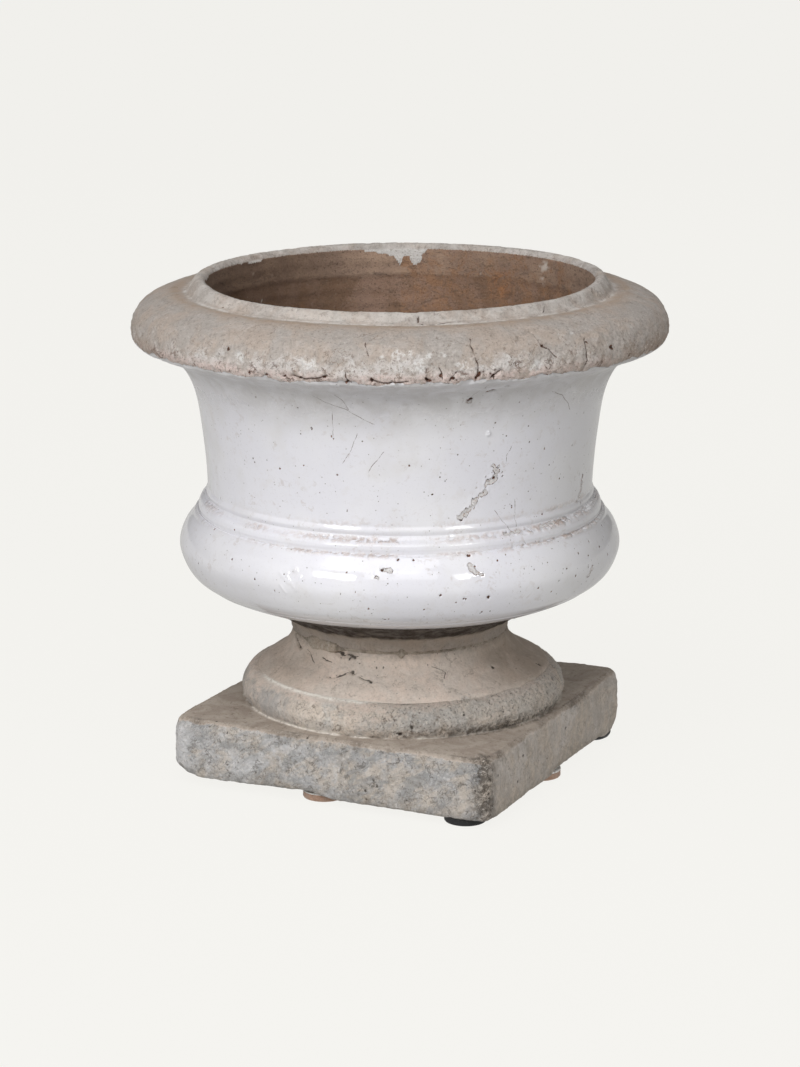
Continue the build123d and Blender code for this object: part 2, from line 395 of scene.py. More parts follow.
def bowl_outline():
    fine = 1.15 * FINE
    spans = [respace(curve(FOOT), fine), respace(curve(BELLY), fine)]
    spans += [respace(curve(b) if len(b) > 2 else b, 0.6 * FINE) for b in BEADS]
    spans += [respace(curve(WALL), fine), respace(curve(ROLL), 0.95 * FINE)]
    spans += [respace(curve(LIP), 0.9 * FINE)]
    outer = sum(len(s) - 1 for s in spans) + 1
    spans += [respace(curve(INSIDE), 2.2 * FINE)]
    # floor, drain hole, and the recess in the foot
    under = [(84, 156), (15, 156), (15, 140), (80, 140), (80, 131), (98.3, 131)]
    for a, b, gap in zip(under, under[1:], (5, 4, 6, 3, 3)):
        spans.append(respace([a, b], gap))
    return chain(*spans)[:-1], outer


class BowlSurface:
    """The bowl's points with what its relief and colours need."""

    def __init__(self):
        outline, n_outer = bowl_outline()
        phi = columns(0.9, 2.0)
        self.co, self.normal = turned_grid(outline, phi)
        self.p = self.co.reshape(-1, 3).astype(np.float32)
        ring = np.repeat(np.arange(len(outline)), len(phi))
        self.ph = (np.tile(phi, len(outline)) + 180) % 360 - 180
        self.r, self.z = outline[ring, 0], outline[ring, 1]
        self.outer = ring < n_outer
        self.profile = outline[:n_outer - 6]  # without the lip's inner turn
        p = self.p
        self.n9, self.n22, self.n60 = fbm(p, 9, 4, 2), fbm(p, 24, 4, 5), fbm(p, 70, 3, 9)
        self.n3 = fbm(p, 3.4, 2, 14)

    def place(self, angle, height):
        rr = np.interp(height, self.profile[:, 1], self.profile[:, 0])
        c, s = direction(angle)
        return rr * c, rr * s, height

    def glazed(self):
        """Where the glaze covers the outside: between the belly and the rim's lower arris."""
        below = smooth(self.r - 154 - 2.6 * self.n22, -0.9, 0.9) + (self.z > 200)
        arris = smooth(400.2 + 2.3 * self.n9 + 1.2 * self.n22 - self.z, -0.7, 0.7)
        return self.outer * np.clip(below, 0, 1) * arris

    def bare_inside(self):
        """Where the clay is bare inside, below the glaze's ragged edge in the mouth."""
        edge = np.interp(self.ph, *np.array(INNER_EDGE).T) + 0.9 * self.n9 + 0.5 * self.n3
        inside = smooth(edge - self.z, -0.4, 0.4) * (self.r < 183) * ~self.outer
        return np.maximum(inside, (~self.outer) & (self.z < 425) & (self.r < 183))

    def rubbed(self):
        """Worn grooves of the beads, where clay shows through the glaze."""
        ph, z = self.ph, self.z
        groove = hump(z, 252.2, 2.3) + 0.8 * hump(z, 240.6, 1.5) + 0.35 * hump(z, 265, 2.5)
        groove *= self.outer * (self.r < 190) * (0.55 + 0.45 * smooth(self.n22, -0.3, 0.5))
        patchy = within(ph, -42, -12, -4, 6) + within(ph, 8, 12, 62, 78)
        patchy = patchy + 0.6 * smooth(self.n60, 0.0, 0.4)
        return np.clip(groove, 0, 1) * patchy * smooth(self.n3 + 0.6 * self.n9, -0.5, 0.5)


def bowl_marks(b):
    """Pits, cracks, chips and nodules worked into the bowl."""
    marks = Marks(b.p, b.place)
    for angle, height, radius in GLAZE_PITS:
        marks.hole(angle, height, radius, 0.7, 0.35)
    for path in HAIRLINES:
        marks.line(path, wander=0.7)
    for path, width, depth in WOUNDS:
        marks.wound(path, width, depth, int(abs(path[0][0])))
    for path, width, depth in RIM_CRACKS:
        marks.line(path, width, depth, 1.6)
    for angle, height, radius in RIM_PITS:
        marks.hole(angle, height, radius, 0.9, 0.9)
    for angle, height, radius, tall in NODULES:
        marks.lift += tall * smooth(marks.distance(angle, height), radius, 0)
    for path in BLISTER_RIDGES:
        a, c = (np.array(b.place(*q)) for q in path)
        marks.lift += 0.5 * smooth(np.linalg.norm(from_line(b.p, a, c), axis=1), 1.8, 0.2)
    marks.lift *= ~((b.z < 425) & ~b.outer)
    return marks


def make_bowl():
    b = BowlSurface()
    p, ph, r, z, outer = b.p, b.ph, b.r, b.z, b.outer
    n3, n9, n22, n60 = b.n3, b.n9, b.n22, b.n60
    inner = ~outer
    glaze, inside, rubbed = b.glazed(), b.bare_inside(), b.rubbed()
    drip = inner * (1 - inside) * smooth(z, 429, 434) * smooth(abs(ph), 165, 169)

    # unevenness of the turning, the glaze and the rough rim
    lift = 0.75 * fbm(p, 170, 2, 21) + 0.22 * glaze * n60 + 0.55 * glaze * (z < 200) * (r < 175)
    rough_clay = outer * (1 - glaze) * (z > 300)
    fascia = rough_clay * smooth(z, 432, 420) * (r > 225)
    lift += rough_clay * (0.22 * n9 + 0.12 * n3 + 0.3 * n22)
    lift += fascia * (0.42 * n9 + 0.34 * n3 + 0.5 * n22)
    lift -= fascia * 1.3 * pits(p, 13, 3, 0.26) + rough_clay * 1.0 * pits(p, 21, 4, 0.12)
    ragged = hump(z, 400.5, 4.2) * (r > 225)
    chipped = 1.5 * smooth(n9 + 0.5 * n22, 0.05, 0.7) + 0.8 * smooth(n22, 0.1, 0.6)
    lift -= ragged * (chipped + 0.5 * smooth(n3, 0.2, 0.9))
    lip = outer * smooth(z, 441, 446) * (r < 193)
    worn = 0.7 * smooth(n9, 0.1, 0.6) + 0.6 * smooth(n22, 0.2, 0.7) + 0.9 * pits(p, 9, 6, 0.2)
    lift -= lip * worn
    lift += 0.45 * (1 - inside) * inner * (z > 425) + rubbed * (0.55 * n3 - 0.2)
    # grooves filled with glaze, most of all at the sides
    filled = 1.7 * hump(z, 252.2, 2.4) + 1.1 * hump(z, 240.4, 1.6)
    lift += filled * outer * (r < 190) * (z < 262) * (0.1 + 1.25 * smooth(abs(ph + 4), 46, 72))
    # turning marks inside, below a shallow step
    turning = 0.35 * np.sin(z / 2.1 + 0.8 * n22) * smooth(fbm(p, 90, 2, 33), -0.4, 0.6)
    lift += inside * (turning + 0.3 * n22 + 0.15 * n9)
    lift -= inside * 0.7 * smooth(z - 2.2 * n60, 425, 423.4)
    dull = outer * (z < 200) * (r < 153)
    lift += dull * (0.45 * n9 + 0.25 * n3)
    marks = bowl_marks(b)
    lift += marks.lift

    chalky = np.zeros(len(p), np.float32)
    for angle, height, wide in CHALK_SPOTS:
        spot = marks.distance(angle, height) + 5 * n9 + 2 * n3
        chalky = np.maximum(chalky, smooth(spot, wide, 0.35 * wide))

    def from_inner(angle, height, radius=172):
        return np.linalg.norm(p - np.array([radius * c for c in direction(angle)] + [height]), axis=1)

    salt = inside * np.maximum(smooth(pits(p, 15, 8, 0.09), 0.1, 0.6), 0)
    for angle, height, size in SALT_SPOTS:
        spot = smooth(from_inner(angle, height) + 4.5 * n9, size + 1, size - 3)
        salt = np.maximum(salt, inside * spot * smooth(n3, -0.3, 0.3) * 0.7)
    orange = n60 + 0.5 * n22 + 0.9 * smooth(ph, 100, 135) - 0.5 * smooth(ph, -90, -140)
    low_left = 0.5 * within(ph, -150, -90, -48, -20) * (z < 240)
    # bright thin line at the lip's foot: a painted highlight
    lip_foot_highlight = outer * hump(r, 191.6, 1.9) * (z > 438)
    # painted shade on the left of the rim's face
    fascia_left_shade = 0.8 * within(ph, -160, -110, -66, -44)
    fields = {
        "glaze": glaze,
        "inside": np.where(outer, 0, inside),
        # glaze greyed under the rim: painted shade from the rim's overhang, with some dust
        "rim_dust_and_shade": glaze * smooth(z, 335, 384),
        # glaze greyed on the right side and low on the left: painted shade on the sides that turn from the
        # lamps
        "painted_side_shade": glaze * np.clip(within(ph, 28, 66, 120, 180) + low_left, 0, 1),
        # painted shade on the inner wall to the left, a little to the right
        "shady": inner * (within(ph, -176, -140, -84, -62) + 0.3 * within(ph, 62, 84, 150, 178)),
        "fascia": fascia * (0.25 + 0.75 * smooth(n22 + 0.5 * n9 + (417 - z) / 11, -0.9, 1.3)),
        # pale lip and glaze drip, with the painted highlight at the lip's foot
        "pale_and_highlight": np.clip(lip_foot_highlight + 0.6 * lip + drip, 0, 1),
        "chalky": chalky,
        "tan": outer * (z > 425) * hump(r, 199 + 2 * n22, 7),
        # rim's face darker at its sides: painted shade
        "fascia_side_shade": fascia * np.clip(within(ph, 20, 52, 120, 178) + fascia_left_shade, 0, 1),
        "rosy": fascia * smooth(z + 3 * n22, 413, 404),
        # over the collar and the recess under the belly: dirt with painted shade
        "grime_and_shade": dull * (0.35 + 0.65 * smooth(z, 139, 146)),
        "collar": dull * smooth(z + 1.5 * n9, 146, 141),
        "rubbed": np.clip(rubbed, 0, 1),
        "pit": marks.pit,
        "scar": marks.scar,
        "crack": marks.side,
        "close": 1 - smooth(abs(marks.side), 0.9, 2.0),
        "white": salt,
        "tone": smooth(z - 2.2 * n60 - 0.6 * n9, 422.6, 425),
        "orange": smooth(orange, 0.1, 0.9),
        "ember": smooth(from_inner(147, 419, 170) + 8 * n9 + 4 * n22, 20, 5),
        "drip": np.clip(drip + inner * (1 - inside) * (z > 425), 0, 1),
    }
    shape = b.co.shape[:2]
    moved = b.co + b.normal * lift.reshape(shape)[..., None]
    # the lip is lower along the front
    top = np.where(outer, smooth(z, 441, 448) * (r < 193), smooth(z, 428, 447))
    dip = 3.5 * smooth(abs(ph), 82, 45) * top
    # and the rim is not quite level
    tilt = 1.1 * np.sin(np.radians(ph)) * smooth(z, 300, 410)
    moved[..., 2] += (tilt - dip).reshape(shape)
    return lattice_mesh("urn_bowl", moved, fields)


bowl = make_bowl()

# ------------------------------------------------------------------ pedestal
TORUS = [(133, 93), (137.5, 91.4), (141.6, 88.2), (147.3, 77), (146, 68.5), (142.5, 64.5)]
BELL = [(97.8, 128.5), (100.8, 119.6), (111, 108.6), (123, 101), (131.2, 94.6)]
RIDGE = [(131.2, 94.6), (133, 93)]
BORE = [
    (100, 46), (100, 58), (100, 70), (98.8, 80), (96, 90), (92, 98), (86, 105), (80.5, 112), (78, 118),
    (78, 124),
]
HALF = 155.5  # half the slab's side
SLAB_TOP = 64.5
# what a ring of the pedestal belongs to
ON_BELL, ON_TORUS, ON_TOP, ON_SIDE, HIDDEN = 1, 2, 3, 4, 5
BELL_PITS = [
    (-32, 125, 2.6), (-27, 121.5, 1.1), (-21, 119.5, 1.2), (48, 109.5, 1.7), (77, 98.5, 2.6),
    (-12, 117, 1.0), (-8.5, 117.5, 0.9), (14, 119, 1.1), (60, 104, 1.3), (3, 76, 2.0), (-1, 69, 2.4),
    (22, 84, 1.6), (118, 104, 2.4), (156, 112, 2.0), (-160, 108, 2.2), (-122, 101, 2.6), (-88, 110, 1.8),
]
BELL_CRACKS = [
    ([(-34, 107), (-29.5, 110), (-25.5, 113), (-23, 112)], 3.0, 2.6),
    ([(-19.5, 110), (-17, 108.5), (-15.5, 109), (-14.5, 107.5)], 2.6, 2.2),
    ([(-35.5, 127.5), (-31.5, 125.5), (-27, 124), (-22.5, 125)], 3.0, 2.4),
    ([(-43, 118.5), (-40, 117), (-37, 117.5)], 1.3, 1.0),
    ([(-76, 127.5), (-70, 123), (-62, 119.5)], 2.0, 1.8), ([(-56, 121), (-50, 117), (-47, 113)], 0.0, 0.0),
    ([(16, 117), (22, 113), (20, 109)], 0.0, 0.0), ([(128, 118), (136, 108), (139, 103)], 1.6, 1.3),
    ([(-150, 120), (-143, 112)], 1.4, 1.2),
]

# slab corners as (sign of x, sign of y), with how far they are knocked back at foot and top
KNOCKED_CORNERS = [(-1, -1, 9.5, 3.0), (1, 1, 4.5, 2.6), (1, -1, 1.5, 2.0), (-1, 1, 7.0, 4.5)]


def square_radius(phi, half, corner):
    """Distance from the axis to a square outline with rounded corners."""
    t = (np.radians(phi + CAMERA_AZIMUTH - 90) + np.pi / 4) % (np.pi / 2) - np.pi / 4
    ta = abs(t)
    c = half - corner
    d = c * (np.cos(ta) + np.sin(ta))
    rounded = d + np.sqrt(np.maximum(d * d - (2 * c * c - corner * corner), 0))
    return np.where(np.tan(ta) * half > c, rounded, half / np.cos(ta))


def pedestal_columns():
    """Angles spaced so that the plinth's faces and corners get even columns."""
    fine, coarse = 1.05 * FINE, 2.2 * FINE
    phi = np.arange(-180, 180, 0.05)
    gap = np.where(abs(phi + 5) < 85, fine, coarse)
    c, s = direction(phi)
    rr = square_radius(phi, HALF, 10)
    x, y = rr * c, rr * s
    step = np.hypot(np.diff(x), np.diff(y)) / gap[:-1]
    run = np.r_[0, np.cumsum(step)]
    return np.interp(np.linspace(0, run[-1], int(run[-1]), endpoint=False), run, phi)


def pedestal_rings(phi):
    """Rings over the outside, under the slab and up the bore, with what each belongs to."""
    c, s = direction(phi)
    one = np.ones_like(phi)
    rings, kinds = [], []

    def add(radius, height, kind):
        rings.append(np.stack([radius * c, radius * s, height * one], -1))
        kinds.append(kind)

    def circles(points, kind):
        for radius, height in points:
            add(radius, height, kind)

    def square(half, corner, height, kind):
        add(square_radius(phi, half, corner), height, kind)

    gap = 1.1 * FINE
    circles(respace([(78, 128.5), (97.8, 128.5)], 3)[:-1], HIDDEN)
    circles(respace(curve(BELL), gap)[:-1], ON_BELL)
    circles(respace(RIDGE, 0.6)[:-1], ON_BELL)
    circles(respace(curve(TORUS), gap), ON_TORUS)
    edge, start = 6.0, TORUS[-1][0]
    for t in np.linspace(0, 1, int(34 / FINE))[1:]:
        add((1 - t) * start + t * square_radius(phi, HALF - edge, 6), SLAB_TOP, ON_TOP)
    for a in np.radians(np.linspace(0, 90, 9)[1:]):
        out = np.sin(a)
        square(HALF - edge + edge * out, 6 + 4 * out, SLAB_TOP - edge + edge * np.cos(a), ON_SIDE)
    for height in np.arange(SLAB_TOP - edge - gap, 11, -gap):
        square(HALF, 10, height, ON_SIDE)
    for a in np.radians(np.linspace(0, 90, 5)[1:]):
        out = 2.5 * np.cos(a)
        square(HALF - 2.5 + out, 7.5 + out, 10.5 - 2.5 * np.sin(a), ON_SIDE)
    for half in np.linspace(HALF - 5, 107, 14):
        square(half, max(8.0, 26 - (half - 106) * 0.4), 8.0, HIDDEN)
    square(106, 26, 8.0, HIDDEN)
    for height in np.linspace(14, 46, 7):
        square(106, 26, height, HIDDEN)
    circles(BORE, HIDDEN)
    return np.array(rings)[::-1], np.array(kinds)[::-1]


class PedestalSurface:
    """The pedestal's points with what its relief and colours need."""

    def __init__(self):
        phi = pedestal_columns()
        self.co, kinds = pedestal_rings(phi)
        self.kind = np.repeat(kinds, len(phi))
        along = np.roll(self.co, -1, axis=1) - np.roll(self.co, 1, axis=1)
        across = np.roll(self.co, -1, axis=0) - np.roll(self.co, 1, axis=0)
        normal = np.cross(along, across)
        self.normal = normal / (np.linalg.norm(normal, axis=2)[..., None] + 1e-9)
        self.p = p = self.co.reshape(-1, 3).astype(np.float32)
        self.ph = (np.tile(phi, len(self.co)) + 180) % 360 - 180
        self.n3, self.n9 = fbm(p, 3.2, 2, 52), fbm(p, 9, 4, 55)
        self.n22, self.n60 = fbm(p, 24, 4, 58), fbm(p, 75, 3, 62)
        outline = np.vstack([curve(BELL), curve(TORUS)])[::-1]
        self.outline = outline[np.argsort(outline[:, 1])]

    def place(self, angle, height):
        radius = np.interp(height, self.outline[:, 1], self.outline[:, 0])
        c, s = direction(angle)
        return radius * c, radius * s, height

    def marks(self):
        marks = Marks(self.p, self.place)
        for angle, height, radius in BELL_PITS:
            marks.hole(angle, height, radius, 0.8, 0.7)
        for path, width, depth in BELL_CRACKS:
            marks.line(path, width, depth, 1.8, dark=0.8)
        return marks


def make_pedestal():
    b = PedestalSurface()
    p, kind, ph = b.p, b.kind, b.ph
    x, y, z = p.T
    r = np.hypot(x, y)
    n3, n9, n22, n60 = b.n3, b.n9, b.n22, b.n60
    shown = kind < HIDDEN
    spun = kind <= ON_TORUS
    lower = kind == ON_TORUS
    sunk = kind == ON_TOP
    slab = (kind >= ON_TOP) & shown
    side = (kind == ON_SIDE).astype(float)
    gritty = lower * within(ph, -40, 10, 120, 175) * 0.8 + lower * 0.25
    pits_gritty, pits_side = pits(p, 10, 13, 0.2), pits(p, 13, 14, 0.22)
    pits_crumb = pits(p, 6.5, 16, 0.4)

    lift = 0.35 * fbm(p, 120, 2, 71) * shown + shown * (0.12 * n9 + 0.07 * n3 + 0.2 * n22)
    lift += gritty * (0.7 * n9 + 0.45 * n3 + 0.9 * n22) - gritty * 1.1 * pits_gritty
    lift += side * (0.34 * n9 + 0.26 * n3 + 0.4 * n22) - side * 1.3 * pits_side
    lift += sunk * (-0.9 * within(r, 148, 165, 160, 190) + 0.5 * n60)

    # worn arrises and corners: points near them move towards the middle
    edge_x, edge_y = HALF - abs(x), HALF - abs(y)
    near_side, near_corner = np.minimum(edge_x, edge_y), np.maximum(edge_x, edge_y)
    top_wear = slab * smooth(z, 50, 64) * smooth(near_side, 16, 0)
    corner_wear = slab * smooth(near_corner, 22, 3) * smooth(z, 6, 14)
    front = smooth(x, 90, 130) * smooth(-y, 90, 130)
    lift -= top_wear * (0.5 + 1.3 * smooth(n22 + 0.6 * n60, -0.2, 0.8) + 0.5 * smooth(n9, 0, 0.7))
    lift -= corner_wear * (0.5 * smooth(n22, 0, 0.7) + front * (1.8 * smooth(n9, -0.2, 0.5) + 0.9 * n3))
    crumb = slab * np.clip(corner_wear * front + 0.5 * top_wear * smooth(n22, 0, 0.6), 0, 1)
    lift -= crumb * (2.6 * pits_crumb + 0.8 * n3)
    low = slab * smooth(z, 20, 8)
    lift -= low * (0.5 * smooth(n22, 0, 0.7) + 0.4 * smooth(n9, 0, 0.7))
    marks = b.marks()
    lift += marks.lift * spun

    # chipped lower edges: the side facing -Y left of its pad, and the +X side behind its pad
    foot_edge = (kind >= ON_SIDE) * smooth(z, 19, 9)
    chip_front = (0.35 + 0.65 * smooth(x, -90, -45)) * smooth(x, 4, -26) * smooth(-y, 136, 142)
    chip_right = within(y, -14, 0, 100, 120) * smooth(x, 136, 142)
    rise = (chip_front + chip_right) * foot_edge * (3.4 + 0.6 * n22 + 0.5 * n9)
    rise += 1.2 * within(x, -36, -28, 0, 6) * smooth(-y, 136, 142) * foot_edge
    # the back right corner stands a little high
    rise += 2.6 * smooth(x + y, 190, 290) * slab * smooth(z, 30, 62)
    rise += low * side * 0.8 * smooth(n22, 0.1, 0.9)

    # thin mortar-like fillet where the torus meets the slab, crumbled away at the right
    seam = hump(z, 65.6, 1.4) * lower + sunk * smooth(r, 147.5, 144)
    lift += seam * shown * (0.9 + 0.8 * n9)
    pale_seam = np.clip(seam * smooth(n22 + 0.3 * n9, -0.5, 0.1), 0, 1)
    pale_seam = pale_seam * (1 - 0.65 * within(ph, 0, 18, 70, 88))
    # the ridge is raised, and its crest is painted cream-white as a highlight
    ridge = hump(z, 93.3 + 0.25 * n9, 0.9) * spun * within(ph, -76, -62, -22, 0)
    lift += 1.2 * ridge
    # towards the right the bell runs into the torus with hardly a step
    lift += 1.9 * hump(z, 95, 3.6) * spun * within(ph, 4, 30, 120, 160)
    lift[~shown] = 0
    shape = b.co.shape[:2]
    moved = b.co + b.normal * lift.reshape(shape)[..., None]
    moved[..., 2] += rise.reshape(shape)

    # corners knocked off at the foot and at the top, towards the axis
    tip = (slab | (z < 9)) * smooth(near_corner, 30, 4) * (1 + 0.2 * n9)
    bottom, top = smooth(z, 25, 8) ** 1.5, smooth(z, 44, SLAB_TOP) ** 1.5
    knocked = np.zeros(len(p))
    for sx, sy, at_foot, at_top in KNOCKED_CORNERS:
        knocked += tip * (x * sx > 0) * (y * sy > 0) * (at_foot * bottom + at_top * top)
    # the lower half stands a little off the axis, the turned part more than the slab
    off_axis = 1.5 + spun + sunk * smooth(near_side, 6.5, 12.5)
    lean = smooth(z, 124, 100) * (shown | ((z < 50) & (r > 101))) * off_axis
    c, s = direction(90)
    moved[..., 0] += (lean * c - knocked * x / r).reshape(shape)
    moved[..., 1] += (lean * s - knocked * y / r).reshape(shape)

    pitted = 0.75 * crumb * smooth(pits_crumb, 0.15, 0.6) + side * 0.8 * smooth(pits_side, 0.2, 0.7)
    pitted = pitted + gritty * 0.6 * smooth(pits_gritty, 0.2, 0.7)
    joint = smooth(z + 2.0 * n22, 62.5, 58.5)
    torus_top = 93.5 + 4.5 * smooth(ph, -5, 35)
    foot_crumbs = (lower | sunk) * smooth(r, 152, 147) * smooth(z, 79, 69) * within(ph, 2, 22, 62, 84)
    # darker at the top of the bell, under the bowl: painted shade with dirt
    neck_shade_and_dirt = smooth(z, 120, 129) * (kind == ON_BELL) * 0.45
    dark_low = side * smooth(z + 5 * n22, 24, 8)
    # bell darker at its sides, most on the right: painted shade where it turns from the lamps
    turned = 0.75 * within(ph, 22, 62, 150, 185) + 0.4 * smooth(ph, -30, -52)
    fields = {
        "face": side * joint,
        "upper": sunk + side * (1 - joint),
        "torus": spun * smooth(z + 3.5 * n22, torus_top, 86) * (0.7 + 0.3 * smooth(n60, -0.3, 0.3)),
        "pit": np.clip(marks.pit + pitted, 0, 1),
        "crack": marks.side,
        "close": 1 - smooth(abs(marks.side), 0.9, 2.0),
        # pale mortar seam, and a painted highlight along the bell's ridge
        "pale_and_highlight": np.clip(1.6 * pale_seam + 1.5 * ridge, 0, 1),
        "crumb": np.clip(crumb + 0.95 * foot_crumbs, 0, 1),
        "turned": (kind == ON_BELL) * np.clip(turned, 0, 1),
        "left": lower * smooth(ph, -22, -50),
        "grit": np.clip(gritty + crumb + 0.35 * side, 0, 1),
        # dirt and painted shade: under the bowl at the bell's neck and in the crease round the torus's foot;
        # also darker low on the slab's sides
        "grime_and_shade": np.clip(neck_shade_and_dirt + 0.55 * dark_low + 0.45 * sunk * smooth(r, 152, 143), 0, 1),
        # paler on the slab's right face and the torus's right front: painted light on the sides facing the
        # right lamp
        "painted_light_right": side * smooth(x, 146, 152) + lower * smooth(ph, 5, 40) * 0.8,
        "hidden": (~shown).astype(float),
    }
    return lattice_mesh("urn_pedestal", moved, fields)


pedestal = make_pedestal()


# ------------------------------------------------------------------ mortar bed
def make_mortar():
    """Ring of mortar between bowl and pedestal, squeezed out and smeared up the foot here and there."""
    face = np.c_[np.full(15, 97.6), np.linspace(128.5, 131, 15)]
    bore, bed = respace([(80, 131), (80, 128.5)], 1.3), respace([(80, 128.5), (97.6, 128.5)], 3)
    outline = chain(bore, bed, face, respace([(97.6, 131), (80, 131)], 3))[:-1]
    phi = columns(1.3, 2.0, 98)
    co, normal = turned_grid(outline, phi)
    p = co.reshape(-1, 3).astype(np.float32)
    z = p[:, 2]
    ph = (np.tile(phi, len(outline)) + 180) % 360 - 180
    front = (np.hypot(p[:, 0], p[:, 1]) > 97) * 1.0
    n9, n22 = fbm(p, 6, 3, 81), fbm(p, 20, 3, 84)
    smear = within(ph, -62, -54, -40, -30) + 0.75 * within(ph, 138, 146, 158, 170)
    smear = smear + 0.6 * smooth(n22, 0.45, 0.9)
    smear = np.clip(smear * (0.75 + 0.5 * n22), 0, 1.2)
    t = (z - 129.75) / 1.25
    shape = co.shape[:2]
    grow = front * (0.55 + 0.4 * n9 + smear * (2.1 + 1.2 * n9) * np.clip(1 - t * t * 0.6, 0, 1))
    grow += front * smear * smooth(t, 0, 1) * 1.1 + front * smear * smooth(t, 0, -1) * 2.0
    co = co + normal * grow.reshape(shape)[..., None]
    co[..., 2] += (front * smear * t * (3.6 + 1.6 * n22)).reshape(shape)
    return lattice_mesh("mortar_joint", co, {"smear": np.clip(smear, 0, 1)})


mortar = make_mortar()


# ------------------------------------------------------------------ stick-on pads
def make_disc(name, node, outline, wobble, seed, fuzz=0.0):
    """Closed turned disc standing where its CAD node stands, slightly out of round."""
    lo, hi = (np.array(v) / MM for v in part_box(node))
    mid = (lo + hi) / 2
    phi = np.linspace(0, 360, 120, endpoint=False)
    ring = respace(outline, 0.55)
    c, s = direction(phi)
    co = np.stack([ring[:, :1] * c, ring[:, :1] * s, ring[:, 1:] * np.ones_like(c)], -1)
    q = (co + mid).reshape(-1, 3).astype(np.float32)
    swell = wobble * fbm(q, 16, 2, seed) + fuzz * fbm(q, 1.6, 2, seed + 1)
    scale = 1 + (swell / 19).reshape(co.shape[:2])
    co[..., 0] *= scale
    co[..., 1] *= scale
    co[..., 2] += lo[2]
    co[..., 0] += mid[0]
    co[..., 1] += mid[1]
    n, m = co.shape[:2]
    middles = [[mid[0], mid[1], co[0, 0, 2]], [mid[0], mid[1], co[-1, 0, 2]]]
    verts = np.vstack([co.reshape(-1, 3), middles]) * MM
    ids = np.arange(n * m).reshape(n, m)
    nxt = np.roll(ids, -1, axis=1)
    faces = np.stack([ids[:-1], nxt[:-1], nxt[1:], ids[1:]], -1).reshape(-1, 4).tolist()
    faces += [(n * m, int(b), int(a)) for a, b in zip(ids[0], nxt[0])]
    faces += [(n * m + 1, int(a), int(b)) for a, b in zip(ids[-1], nxt[-1])]
    mesh = bpy.data.meshes.new(name)
    mesh.from_pydata(verts.tolist(), [], faces)
    mesh.polygons.foreach_set("use_smooth", np.ones(len(faces), bool))
    mesh.update()
    obj = bpy.data.objects.new(name, mesh)
    scene.collection.objects.link(obj)
    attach(obj, "root")
    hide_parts(node)
    return obj


RUBBER = [
    (1.5, 0.25), (12, 0.1), (16.6, 0.0), (18.0, 0.5), (18.8, 1.6), (19.0, 3), (19.0, 6.6), (18.7, 7.6),
    (18.0, 8.0), (1.5, 8.0),
]
WORN_RUBBER = [
    (1.5, 0.3), (9, 0.2), (13, 0.9), (16, 2.6), (17.6, 5), (18, 6.6), (17.7, 7.6), (17, 8.0), (1.5, 8.0),
]
FELT = [(1.5, 0.1), (17.4, 0.0), (18.6, 0.5), (19.0, 1.6), (18.8, 4), (19.0, 5.6), (18.6, 6.4), (1.5, 6.4)]
FILM = [(1.5, -0.8), (18.9, -0.8), (19.3, -0.4), (19.3, 0.6), (18.9, 1.0), (1.5, 1.0)]
RUBBER_OUTLINES = {
    "front_left": RUBBER, "front_right": RUBBER, "back_left": RUBBER, "back_right": WORN_RUBBER,
}
SIDES = ("front", "right", "back", "left")
rubber = [make_disc(f"rubber_disc_{k}", f"rubber_pad_{k}", outline, 0.12, 90 + i)
          for i, (k, outline) in enumerate(RUBBER_OUTLINES.items())]
felt = [make_disc(f"felt_disc_{k}", f"felt_pad_{k}", FELT, 0.25, 100 + i, 0.16)
        for i, k in enumerate(SIDES)]
film = [make_disc(f"film_disc_{k}", f"adhesive_film_{k}", FILM, 0.3, 110 + i)
        for i, k in enumerate(SIDES)]


